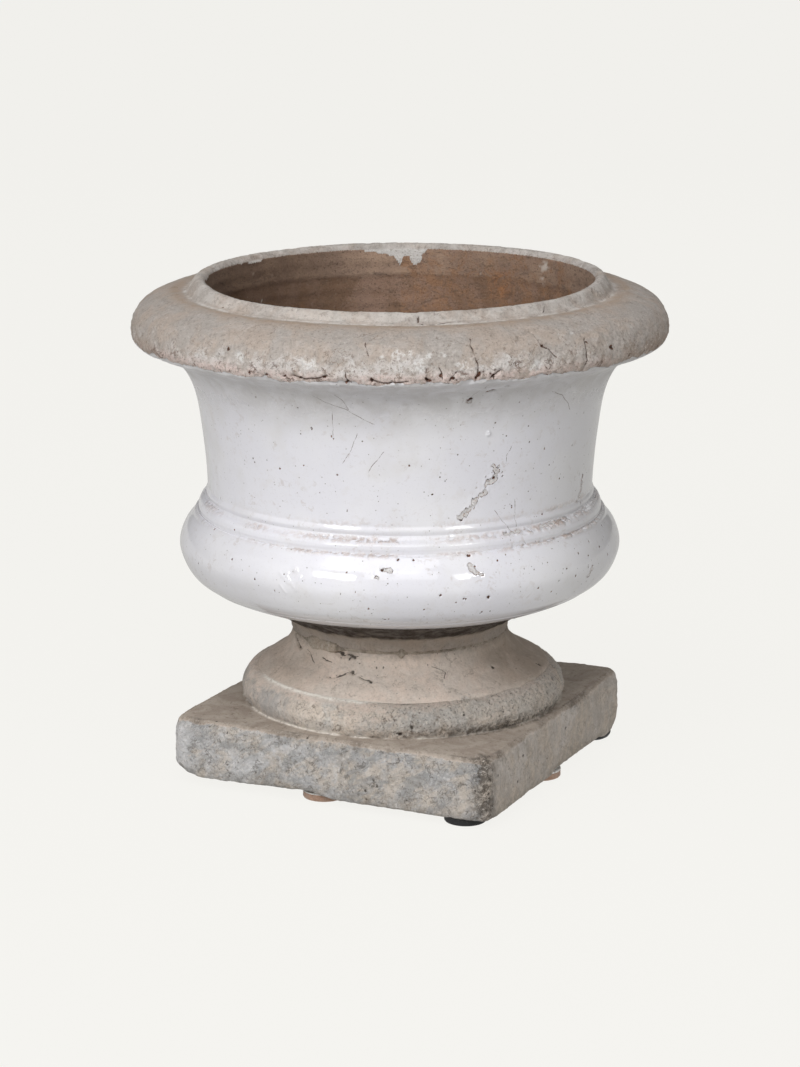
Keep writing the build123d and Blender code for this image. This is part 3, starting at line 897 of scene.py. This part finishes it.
# ------------------------------------------------------------------ node materials
class Nodes:
    """Small helper that builds a node material."""

    def __init__(self, name):
        self.mat = bpy.data.materials.new(name)
        self.mat.use_nodes = True
        self.tree = self.mat.node_tree
        self.tree.nodes.clear()
        self.out = self.tree.nodes.new("ShaderNodeOutputMaterial")
        self.bsdf = self.tree.nodes.new("ShaderNodeBsdfPrincipled")
        self.tree.links.new(self.bsdf.outputs[0], self.out.inputs[0])
        self.coord = self.tree.nodes.new("ShaderNodeTexCoord").outputs["Object"]

    def put(self, socket, value):
        if hasattr(value, "is_linked"):
            self.tree.links.new(value, socket)
        elif isinstance(value, (tuple, list)) and len(value) == 3 and socket.type == "RGBA":
            socket.default_value = (*value, 1)
        else:
            socket.default_value = value

    def shifted(self, shift, squash=1.0, slant=0.0):
        n = self.tree.nodes.new("ShaderNodeMapping")
        n.inputs["Location"].default_value = (shift, 0.37 * shift, 0.71 * shift)
        n.inputs["Scale"].default_value = (1, 1, squash)
        if slant:  # drawn out along a slanting line
            n.vector_type = "TEXTURE"
            n.inputs["Rotation"].default_value = (0, -slant, 0)
            n.inputs["Scale"].default_value = (2.6, 1, 1)
        self.put(n.inputs["Vector"], self.coord)
        return n.outputs["Vector"]

    def noise(self, size_mm, detail=4, rough=0.55, warp=0.0, shift=0.0, squash=1.0, slant=0.0):
        n = self.tree.nodes.new("ShaderNodeTexNoise")
        moved = shift or squash != 1
        self.put(n.inputs["Vector"], self.shifted(shift, squash, slant) if moved else self.coord)
        n.inputs["Scale"].default_value = 1000 / size_mm
        n.inputs["Detail"].default_value = detail
        n.inputs["Roughness"].default_value = rough
        n.inputs["Distortion"].default_value = warp
        return n.outputs["Fac"]

    def pins(self, cell_mm, radius_mm, shift=0.0):
        """1 in scattered round dots."""
        n = self.tree.nodes.new("ShaderNodeTexVoronoi")
        self.put(n.inputs["Vector"], self.shifted(shift))
        n.inputs["Scale"].default_value = 1000 / cell_mm
        return self.band(n.outputs["Distance"], radius_mm / cell_mm, 0.5 * radius_mm / cell_mm)

    def field(self, name):
        n = self.tree.nodes.new("ShaderNodeAttribute")
        n.attribute_name = name
        return n.outputs["Fac"]

    def math(self, op, a, b=0.0):
        n = self.tree.nodes.new("ShaderNodeMath")
        n.operation = op
        self.put(n.inputs[0], a)
        self.put(n.inputs[1], b)
        return n.outputs[0]

    def times(self, a, b):
        return self.math("MULTIPLY", a, b)

    def band(self, value, lo, hi, out_lo=0.0, out_hi=1.0):
        n = self.tree.nodes.new("ShaderNodeMapRange")
        n.interpolation_type = "SMOOTHSTEP"
        self.put(n.inputs["Value"], value)
        n.inputs["From Min"].default_value = lo
        n.inputs["From Max"].default_value = hi
        n.inputs["To Min"].default_value = out_lo
        n.inputs["To Max"].default_value = out_hi
        return n.outputs["Result"]

    def clouds(self, lo, hi, size_mm, *shape, span=(0, 1), **more):
        """Noise cut to a mask between lo and hi; the rest is as for noise."""
        return self.band(self.noise(size_mm, *shape, **more), lo, hi, *span)

    def mix(self, fac, a, b):
        n = self.tree.nodes.new("ShaderNodeMix")
        n.data_type = "RGBA"
        n.clamp_factor = True
        self.put(n.inputs["Factor"], fac)
        for name, colour in (("A", a), ("B", b)):
            self.put([s for s in n.inputs if s.name == name and s.type == "RGBA"][0], colour)
        return [s for s in n.outputs if s.name == "Result" and s.type == "RGBA"][0]

    def layers(self, col, *rows):
        """Colours laid one over another; a row is a colour and the masks that are multiplied."""
        for colour, *masks in rows:
            fac = masks[0]
            for mask in masks[1:]:
                fac = self.math("MULTIPLY", fac, mask)
            col = self.mix(fac, col, colour)
        return col

    def sharp(self, mask, grain, spread=0.5, soft=0.08):
        """Point value turned into a crisp edge broken up by a noise."""
        m = self.math("ADD", mask, self.band(grain, 0.3, 0.7, -spread / 2, spread / 2))
        return self.band(m, 0.5 - soft, 0.5 + soft)

    def crack(self, width_mm):
        """Fine line where the signed distance to a crack crosses zero."""
        d = self.math("ABSOLUTE", self.field("crack"))
        return self.times(self.band(d, width_mm, 0.35 * width_mm), self.band(self.field("close"), 0.15, 0.6))

    def veins(self, size_mm, width, shift=0.0, warp=0.6):
        """Short ragged lines, like the edges of flaking clay."""
        level = self.noise(size_mm, 6, 0.62, warp, shift)
        d = self.math("ABSOLUTE", self.math("SUBTRACT", level, 0.5))
        broken = self.clouds(0.50, 0.60, 0.8 * size_mm, 3, 0.6, shift=shift + 1.7)
        return self.times(self.band(d, width, 0.25 * width), broken)

    def bump(self, height, depth_mm, under=None):
        n = self.tree.nodes.new("ShaderNodeBump")
        n.inputs["Strength"].default_value = 1.0
        n.inputs["Distance"].default_value = depth_mm * MM
        self.put(n.inputs["Height"], height)
        if under is not None:
            self.put(n.inputs["Normal"], under)
        return n.outputs["Normal"]

    def finish(self, *objs, **inputs):
        for key, value in inputs.items():
            self.put(self.bsdf.inputs[key.replace("_", " ")], value)
        for obj in objs:
            obj.data.materials.clear()
            obj.data.materials.append(self.mat)


def weathered(m, warm, cool, pale, grit=0.5, wisp=0.5, warp=1.5):
    """Colour of bare weathered clay: warm and cool patches, lime wisps, dirt and grains."""
    patch, streak = m.noise(38, 6, 0.62, 0.7), m.noise(12, 8, 0.72, warp, shift=0.3)
    spot, fine = m.noise(4.6, 5, 0.75, 0.3, shift=0.9), m.noise(2.3, 4, 0.8)
    col = m.layers(
        m.mix(m.band(patch, 0.38, 0.60), warm, cool),
        (pale, m.band(streak, 0.50, 0.64), wisp),
        (tuple(0.62 * c for c in warm), m.band(streak, 0.48, 0.36), wisp),
        (tuple(0.40 * c for c in warm), m.band(spot, 0.55, 0.66), 0.8 * grit),
        ((0.085, 0.07, 0.055), m.band(fine, 0.55, 0.66), grit),
        (tuple(min(1, 1.3 * c) for c in pale), m.band(fine, 0.44, 0.33), 0.7 * grit),
    )
    return col, fine, spot


def glaze_colour(m, dust_and_shade):
    """White tin glaze: stained, pinholed, greyed under the rim by dust and painted shade, and rubbed off the
    beads.
    """
    rubbed = m.field("rubbed")
    stained = m.clouds(0.46, 0.58, 38, 3, 0.6, shift=6.1)
    return m.layers(
        m.mix(m.clouds(0.35, 0.65, 110, 3), (0.755, 0.75, 0.80), (0.805, 0.80, 0.83)),
        ((0.66, 0.64, 0.62), m.clouds(0.5, 0.72, 42, 5, shift=2.1), 0.30),
        ((0.62, 0.57, 0.53), m.clouds(0.55, 0.72, 17, 6, 0.65, shift=4.7), 0.20),
        ((0.45, 0.42, 0.40), m.clouds(0.58, 0.72, 2.4, 3, 0.7, shift=0.6), 0.22),
        ((0.50, 0.44, 0.41), m.clouds(0.54, 0.68, 7.5, 5, 0.7, 0.4, 5.8), stained, 0.42),
        # painted shade on the right side and low on the left
        ((0.56, 0.55, 0.55), m.field("painted_side_shade"), 0.5),
        ((0.20, 0.165, 0.14), m.pins(6.5, 0.62, 0.2), 0.75),
        ((0.09, 0.06, 0.045), m.pins(15, 0.95, 0.5), 0.9),
        # painted shade under the rim, with dust
        ((0.50, 0.475, 0.45), dust_and_shade, 0.6),
        ((0.62, 0.53, 0.48), rubbed, 0.35),
        ((0.45, 0.33, 0.27), rubbed, m.clouds(0.34, 0.56, 3.0, 4, 0.7, shift=3.3), 0.7),
        # whiter-than-glaze dots in the rubbed grooves: painted glints
        ((0.90, 0.89, 0.88), rubbed, m.pins(3.1, 0.9, 1.7)),
    )


def chalk_colour(m, fine, spot):
    """The rim's flaking face: chalky, rosy at its foot, with painted shade at the sides."""
    rosy = m.clouds(0.34, 0.54, 11, 5, 0.65, 0.4, 4.9, span=(0.45, 1.0))
    fascia_side_shade = m.clouds(0.34, 0.6, 16, 5, 0.65, 0.5, 2.3, span=(0.3, 0.85))
    pale = m.clouds(0.42, 0.60, 13, 6, 0.7, 0.8, 5.1)
    return m.layers(
        m.mix(pale, (0.665, 0.62, 0.59), (0.725, 0.695, 0.675)),
        ((0.755, 0.62, 0.575), m.field("rosy"), rosy),
        ((0.37, 0.295, 0.245), m.clouds(0.50, 0.62, 7, 6, 0.75, 0.5, 6.2), 0.7),
        # painted shade at the sides of the rim's face
        ((0.36, 0.28, 0.22), m.field("fascia_side_shade"), fascia_side_shade),
        ((0.15, 0.09, 0.065), m.veins(15, 0.03, 5.5), 0.85),
        ((0.74, 0.70, 0.66), m.band(spot, 0.45, 0.34), 0.6),
        ((0.24, 0.16, 0.12), m.clouds(0.56, 0.64, 3.4, 5, 0.8, 0.3, 8.8), 0.55),
        ((0.15, 0.10, 0.07), m.band(fine, 0.55, 0.64), 0.6),
        ((0.86, 0.83, 0.79), m.band(fine, 0.44, 0.34), 0.5),
    )


def bare_colour(m):
    """Bare clay outside: the rim with its lip, and the foot's collar with the recess above it, which is
    near-black with dirt and painted shade.
    """
    tones = (0.535, 0.448, 0.385), (0.50, 0.452, 0.415), (0.66, 0.61, 0.575)
    bare, fine, spot = weathered(m, *tones, 0.45, 0.36, 0.5)
    tan = m.clouds(0.34, 0.60, 14, 5, 0.65, 0.4, 3.9, span=(0.3, 0.9))
    bare = m.layers(
        bare,
        ((0.48, 0.365, 0.28), m.field("tan"), tan),
        ((0.24, 0.175, 0.135), m.veins(26, 0.012, 2.6, 0.3), 0.6),
    )
    ragged = m.clouds(0.3, 0.7, 16, 8, 0.75, 0.6, 7.7, span=(-0.45, 0.45))
    edge = m.math("ADD", m.field("fascia"), ragged)
    # near-black in the recess under the belly, painted shade with dirt; tan on the collar below it
    collar = m.mix(m.field("collar"), (0.04, 0.025, 0.015), (0.52, 0.42, 0.33))
    pale_and_highlight = m.field("pale_and_highlight")
    bare = m.layers(
        m.mix(m.band(edge, 0.25, 0.95), bare, chalk_colour(m, fine, spot)),
        ((0.86, 0.85, 0.835), m.field("chalky"), m.clouds(0.44, 0.54, 3.6, 6, 0.8, 0.3, 0.5), 0.7),
        # pale lip and drip, with the painted highlight at the lip's foot
        ((0.78, 0.74, 0.70), pale_and_highlight, m.clouds(0.38, 0.60, 17, 6, 0.6, 0.4, 8.3, span=(0.1, 0.85))),
        ((0.22, 0.165, 0.13), pale_and_highlight, m.veins(14, 0.03, 3.1), 0.8),
        ((0.20, 0.16, 0.13), pale_and_highlight, m.clouds(0.55, 0.63, 3.1, 5, 0.8, shift=1.9, span=(0, 0.5))),
        # the collar's tan and the recess's near-black of dirt and painted shade, in patches
        (collar, m.field("grime_and_shade"), m.clouds(0.3, 0.62, 9, 5, 0.65, shift=2.9, span=(0.7, 1.0))),
    )
    return bare, fine


def inner_colour(m, grain):
    """Bare clay inside: paler above the step, orange to the right, with salt and soot, and painted shade on
    the wall to the left and a little to the right.
    """
    low_patch, high_patch = m.noise(28, 6, 0.6, 0.6), m.noise(36, 6, 0.6, 0.6, shift=1.1)
    low = m.mix(m.band(low_patch, 0.36, 0.64), (0.25, 0.15, 0.094), (0.345, 0.222, 0.16))
    high = m.mix(m.band(high_patch, 0.36, 0.64), (0.34, 0.232, 0.172), (0.45, 0.31, 0.222))
    orange = m.clouds(0.42, 0.64, 14, 6, 0.65, 0.8, shift=2.2, span=(0.05, 0.75))
    ember = m.clouds(0.42, 0.58, 8, 6, 0.7, 0.6, shift=7.1, span=(0.1, 0.85))
    return m.layers(
        m.mix(m.field("tone"), low, high),
        ((0.40, 0.215, 0.115), m.field("orange"), orange),
        ((0.47, 0.215, 0.095), m.field("ember"), ember),
        ((0.135, 0.095, 0.07), m.clouds(0.50, 0.66, 9, 6, 0.72, 0.5, shift=3.1, squash=2.5), 0.55),
        ((0.06, 0.042, 0.033), m.band(grain, 0.56, 0.68), 0.6),
        ((0.46, 0.36, 0.29), m.band(grain, 0.42, 0.32), 0.35),
        ((0.55, 0.45, 0.37), m.pins(15, 0.8, 2.9), 0.7),
        # painted shade on the inner wall
        ((0.085, 0.045, 0.022), m.field("shady"), 0.6),
        ((0.66, 0.60, 0.54), m.field("white")),
    )


def urn_finish(obj):
    m = Nodes("tin_glaze_over_clay")
    grain = m.noise(1.7, 3, 0.7, shift=1.3)
    # painted shade and dust under the rim, broken into patches; it also dulls the gloss
    dust_and_shade = m.times(m.field("rim_dust_and_shade"), m.clouds(0.3, 0.65, 20, 6, 0.6, 0.6, 3.7, span=(0.55, 1.0)))
    bare, fine = bare_colour(m)
    skin = m.sharp(m.field("glaze"), grain, 0.5)
    bared = m.math("SUBTRACT", 1.0, skin)
    drip = m.mix(m.band(grain, 0.55, 0.65), (0.74, 0.71, 0.68), (0.45, 0.40, 0.36))
    # flaked strips: raw clay with paler broken glaze round it
    wound = m.field("scar")
    scar = m.sharp(wound, m.noise(2.4, 4, 0.75, shift=0.35), 0.66, 0.15)
    ring = m.times(m.band(wound, 0.12, 0.4), m.band(wound, 0.95, 0.6))
    ring = m.times(ring, m.clouds(0.45, 0.56, 4.5, 4, 0.7, shift=5.2))
    ring = m.math("MAXIMUM", ring, m.clouds(0.56, 0.64, 3.4, 5, 0.75, shift=4.1))
    broken = m.mix(ring, (0.84, 0.815, 0.81), (0.47, 0.335, 0.275))
    # cracks and pits
    gap = m.clouds(0.38, 0.52, 5, 5, 0.7, shift=5.9, span=(0.25, 0.9))
    dark = m.mix(m.band(grain, 0.42, 0.58), (0.055, 0.032, 0.022), (0.22, 0.10, 0.065))
    pit = m.field("pit")
    ragged = m.math("ADD", pit, m.clouds(0.3, 0.7, 2.0, 4, 0.75, shift=0.65, span=(-0.3, 0.3)))
    col = m.layers(
        m.mix(skin, bare, glaze_colour(m, dust_and_shade)),
        (drip, m.field("drip")),
        (inner_colour(m, grain), m.sharp(m.field("inside"), grain, 0.4)),
        ((0.50, 0.38, 0.32), m.band(wound, 0.02, 0.4), 0.22),
        (broken, scar),
        ((0.13, 0.085, 0.065), m.crack(0.42), gap),
        ((0.10, 0.062, 0.045), m.crack(0.95), bared, m.band(gap, 0.3, 0.7, 0.35, 0.95)),
        (dark, m.band(ragged, 0.3, 0.62), m.band(pit, 0.04, 0.3)),
    )
    # sheen and relief
    lost = m.math("MAXIMUM", scar, m.times(m.field("rubbed"), 0.6))
    gloss = m.times(skin, m.math("SUBTRACT", 1.0, lost))
    gloss = m.times(gloss, m.math("SUBTRACT", 1.0, m.times(dust_and_shade, 0.5)))
    smear = m.clouds(0.42, 0.72, 22, 5, 0.6, shift=6.6, span=(0.055, 0.17))
    rough = m.math("ADD", m.times(gloss, m.math("SUBTRACT", smear, 0.88)), 0.88)
    relief = m.bump(m.noise(24, 2, shift=9.1), 0.30)
    relief = m.bump(m.times(m.pins(6.5, 0.62, 0.2), skin), -0.3, relief)
    matt = m.math("SUBTRACT", 1.0, gloss)
    relief = m.bump(m.times(m.noise(6.5, 8, 0.78, 0.4), matt), 3.0, relief)
    relief = m.bump(m.times(fine, matt), 0.9, relief)
    m.finish(obj, Base_Color=col, Roughness=rough, Normal=relief)


def bell_colour(m):
    tones = (0.73, 0.61, 0.525), (0.66, 0.575, 0.505), (0.80, 0.72, 0.65)
    bell, fine, spot = weathered(m, *tones, 0.25, 0.36)
    # patches for the painted shade on the bell's sides
    side_shade_patches = m.clouds(0.3, 0.6, 20, 6, 0.65, 0.6, 9.4, span=(0.4, 0.85))
    bell = m.layers(
        bell,
        ((0.16, 0.125, 0.09), m.pins(7, 0.7, 0.8), 0.8),
        ((0.26, 0.20, 0.155), m.veins(22, 0.02, 1.4, 0.4), 0.5),
        # painted shade on the bell's sides
        ((0.32, 0.245, 0.18), m.field("turned"), side_shade_patches),
    )
    return bell, fine, spot


def slab_colour(m):
    """The slab's faces: grey and tan in slanting streaks, with dark ragged lines."""
    tones = (0.50, 0.44, 0.38), (0.46, 0.455, 0.46), (0.70, 0.68, 0.66)
    streak = m.noise(17, 8, 0.74, 1.2, 2.7, slant=0.6)
    return m.layers(
        weathered(m, *tones, 0.5, 0.45)[0],
        ((0.33, 0.33, 0.33), m.band(streak, 0.50, 0.57), 0.7),
        ((0.64, 0.57, 0.50), m.band(streak, 0.47, 0.40), 0.6),
        ((0.68, 0.675, 0.685), m.clouds(0.50, 0.60, 62, 6, 0.65, 0.5, 1.5), 0.6),
        ((0.14, 0.125, 0.11), m.veins(17, 0.035, 6.8, 1.6), 0.75),
        ((0.17, 0.15, 0.13), m.veins(9, 0.04, 8.2, 1.2), 0.6),
        ((0.80, 0.77, 0.74), m.veins(13, 0.03, 1.2, 1.6), 0.3),
        # painted light on the slab's right face
        ((0.68, 0.57, 0.47), m.field("painted_light_right"), 0.42),
    )


def torus_colour(m):
    tones = (0.68, 0.585, 0.495), (0.55, 0.525, 0.495), (0.80, 0.73, 0.665)
    grey = m.clouds(0.4, 0.6, 24, 6, 0.65, 0.6, 4.6, span=(0.3, 0.75))
    return m.layers(
        weathered(m, *tones, 0.62, 0.55)[0],
        ((0.20, 0.155, 0.12), m.veins(14, 0.03, 2.2), 0.8),
        # painted light on the torus's right front
        ((0.74, 0.64, 0.54), m.field("painted_light_right"), 0.4),
        ((0.37, 0.345, 0.33), m.field("left"), grey),
    )


def slab_top_colour(m, fine, spot):
    patch = m.clouds(0.35, 0.65, 30, 6, 0.65, 0.8, shift=0.8)
    return m.layers(
        m.mix(patch, (0.34, 0.28, 0.23), (0.46, 0.395, 0.335)),
        ((0.16, 0.125, 0.095), m.band(spot, 0.55, 0.66), 0.6),
        ((0.10, 0.08, 0.06), m.band(fine, 0.57, 0.68), 0.4),
    )


def pedestal_finish(obj):
    m = Nodes("weathered_terracotta")
    bell, fine, spot = bell_colour(m)
    fade = m.clouds(0.32, 0.68, 16, 8, 0.72, 0.6, 1.9, span=(-0.4, 0.4))
    blend = m.band(m.math("ADD", m.field("torus"), fade), 0.15, 0.95)
    face = m.sharp(m.field("face"), m.noise(5, 6, 0.7, shift=3.9), 0.6, 0.25)
    # patches for the pale seam and the ridge's painted highlight
    pale_and_highlight = m.clouds(0.38, 0.50, 3.4, 5, 0.7, shift=5.4, span=(0.3, 1.0))
    grime_and_shade = m.clouds(0.38, 0.60, 7, 6, 0.72, 0.5, shift=7.4, span=(0.12, 0.9))
    grit, pit = m.field("grit"), m.field("pit")
    ragged = m.math("ADD", pit, m.clouds(0.3, 0.7, 2.2, 4, 0.78, shift=0.65, span=(-0.3, 0.3)))
    col = m.layers(
        m.mix(blend, bell, torus_colour(m)),
        (slab_top_colour(m, fine, spot), m.field("upper")),
        (slab_colour(m), face),
        ((0.11, 0.088, 0.07), grit, m.clouds(0.54, 0.62, 3.0, 5, 0.82, 0.4, 4.4), 0.75),
        ((0.78, 0.72, 0.65), grit, m.clouds(0.56, 0.64, 2.6, 4, 0.82, shift=6.4), 0.75),
        ((0.12, 0.10, 0.08), m.field("crumb"), m.clouds(0.46, 0.54, 5.5, 7, 0.82, 0.6, 2.4), 0.85),
        # pale seam, and the painted highlight on the bell's ridge
        ((0.90, 0.85, 0.78), m.field("pale_and_highlight"), pale_and_highlight),
        # dirt and painted shade at the bell's neck and round the torus's foot, darker low on the sides
        ((0.15, 0.125, 0.10), m.field("grime_and_shade"), grime_and_shade),
        ((0.20, 0.17, 0.14), m.field("hidden")),
        ((0.08, 0.065, 0.05), m.crack(0.6), 0.85),
        ((0.065, 0.052, 0.042), m.band(ragged, 0.32, 0.7), m.band(pit, 0.04, 0.3, 0, 0.9)),
    )
    rise = m.times(m.noise(8, 8, 0.78, 0.6), m.band(grit, 0, 1, 0.35, 1.0))
    relief = m.bump(m.times(fine, m.band(grit, 0, 1, 0.4, 1.0)), 1.0, m.bump(rise, 4.0))
    m.finish(obj, Base_Color=col, Roughness=m.band(fine, 0.3, 0.7, 0.78, 0.95), Normal=relief)


def mortar_finish(obj):
    m = Nodes("dirty_lime_mortar")
    tones = (0.43, 0.355, 0.285), (0.37, 0.32, 0.265), (0.54, 0.48, 0.415)
    lime = weathered(m, *tones, 0.5, 0.6)[0]
    patches = m.clouds(0.40, 0.56, 9, 6, 0.75, span=(0.45, 1.0))
    shown = m.math("MAXIMUM", m.band(m.field("smear"), 0.25, 0.6), patches)
    col = m.mix(shown, (0.10, 0.08, 0.06), lime)
    m.finish(obj, Base_Color=col, Roughness=0.95, Normal=m.bump(m.noise(3, 6, 0.7), 1.2))


def rubber_finish(*objs):
    m = Nodes("black_rubber")
    col = m.mix(m.clouds(0.5, 0.7, 5, 5, 0.6), (0.013, 0.013, 0.015), (0.05, 0.048, 0.045))
    rough = m.clouds(0.3, 0.7, 9, 4, span=(0.38, 0.6))
    m.finish(*objs, Base_Color=col, Roughness=rough, Normal=m.bump(m.noise(1.2, 3), 0.12))


def felt_finish(*objs):
    m = Nodes("tan_felt")
    fibre = m.noise(1.1, 5, 0.8, 2.0, squash=0.5)
    col = m.mix(m.band(fibre, 0.35, 0.65), (0.36, 0.21, 0.145), (0.60, 0.40, 0.30))
    col = m.layers(col, ((0.42, 0.34, 0.28), m.clouds(0.5, 0.7, 6, 4), 0.5))
    m.finish(*objs, Base_Color=col, Roughness=0.97, Normal=m.bump(fibre, 0.5), Sheen_Weight=0.3)


def film_finish(*objs):
    m = Nodes("foam_film")
    col = m.mix(m.clouds(0.45, 0.65, 4, 4), (0.90, 0.89, 0.87), (0.66, 0.63, 0.59))
    rough = m.clouds(0.3, 0.7, 3, 3, span=(0.5, 0.7))
    m.finish(*objs, Base_Color=col, Roughness=rough, Normal=m.bump(m.noise(1.5, 3), 0.15))


urn_finish(bowl)
pedestal_finish(pedestal)
mortar_finish(mortar)
rubber_finish(*rubber)
felt_finish(*felt)
film_finish(*film)
for piece, node, slot in (
    (bowl, "bowl", "glazed_terracotta"),
    (pedestal, "pedestal", "bare_terracotta"),
    (mortar, "mortar_bed", "lime_mortar"),
):
    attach(piece, "root")
    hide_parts(node)


# ------------------------------------------------------------------ floor, light, camera
def aim_at(obj, at, target):
    at, target = Vector(at), Vector(target)
    obj.location = at
    obj.rotation_euler = (target - at).to_track_quat("-Z", "Y").to_euler()


def outwards(azimuth, elevation):
    """Unit vector away from the urn; azimuth counts to the right from the viewing side."""
    a, e = math.radians(CAMERA_AZIMUTH + azimuth), math.radians(elevation)
    return np.array([math.sin(a) * math.cos(e), -math.cos(a) * math.cos(e), math.sin(e)])


def area_light(name, azimuth, elevation, distance, width, height, radiance):
    """Softbox aimed at the urn's middle."""
    data = bpy.data.lights.new(name, "AREA")
    data.shape = "RECTANGLE"
    data.size, data.size_y = width, height
    data.energy = radiance * math.pi * width * height
    lamp = bpy.data.objects.new(name, data)
    aim_at(lamp, URN_MIDDLE + outwards(azimuth, elevation) * distance, URN_MIDDLE)
    scene.collection.objects.link(lamp)


def floor():
    """Pale flat sheet with a little light of its own, so it stays even into the distance."""
    n, reach = 24, 30000.0  # points along a side, millimetres from the middle
    xs = np.linspace(-reach, reach, n)
    flat = np.meshgrid(xs, xs, indexing="ij") + [np.zeros((n, n))]
    grid = np.stack(flat, -1).reshape(-1, 3) * MM
    ids = np.arange(n * n).reshape(n, n)
    faces = np.stack([ids[:-1, :-1], ids[1:, :-1], ids[1:, 1:], ids[:-1, 1:]], -1).reshape(-1, 4)
    mesh = bpy.data.meshes.new("floor")
    mesh.from_pydata(grid.tolist(), [], faces.tolist())
    obj = bpy.data.objects.new("floor", mesh)
    scene.collection.objects.link(obj)
    m = Nodes("floor")
    col = m.mix(m.noise(900, 2), (0.035, 0.0347, 0.0335), (0.04, 0.0397, 0.0385))
    m.finish(obj, Base_Color=col, Roughness=1.0)
    m.bsdf.inputs["Specular IOR Level"].default_value = 0.0
    m.bsdf.inputs["Emission Color"].default_value = (*PALE, 1)
    m.put(m.bsdf.inputs["Emission Strength"], backdrop_strength(m.tree, 0.60, 0.965))


def backdrop_strength(tree, as_light, as_backdrop):
    """Strength that is lower as a source of light than as the pale ground behind the urn."""
    path = tree.nodes.new("ShaderNodeLightPath")
    n = tree.nodes.new("ShaderNodeMapRange")
    n.inputs["To Min"].default_value = as_light
    n.inputs["To Max"].default_value = as_backdrop
    tree.links.new(path.outputs["Is Camera Ray"], n.inputs["Value"])
    return n.outputs["Result"]


def studio_air():
    """Even pale surroundings, dimmer as a light source than as a backdrop."""
    world = bpy.data.worlds.new("studio")
    scene.world = world
    world.use_nodes = True
    tree = world.node_tree
    back = tree.nodes["Background"]
    back.inputs["Color"].default_value = (*PALE, 1)
    tree.links.new(backdrop_strength(tree, 0.15, 1.0), back.inputs["Strength"])


floor()
studio_air()
area_light("key", -33.5, 25, 2.6, 0.80, 0.44, 20.3)
area_light("second", 36.5, 25, 2.6, 0.66, 0.46, 11.5)
area_light("overhead", -18, 58, 2.6, 2.0, 1.7, 2.85)
area_light("back_fill", 165, 30, 3.6, 2.4, 1.6, 1.3)
area_light("left_wall", -80, 18, 3.2, 2.0, 1.8, 0.6)
area_light("front", 0, 36, 3.8, 2.2, 1.4, 2.2)

cam_data = bpy.data.cameras.new("camera")
cam = bpy.data.objects.new("camera", cam_data)
scene.collection.objects.link(cam)
cam_data.sensor_fit = "VERTICAL"
cam_data.angle_y = math.radians(CAMERA_VIEW)
aim_at(cam, CAMERA_TARGET + outwards(0, CAMERA_ELEVATION) * CAMERA_DISTANCE, CAMERA_TARGET)
cam_data.clip_end = 60
scene.camera = cam
scene.view_settings.view_transform = "Standard"
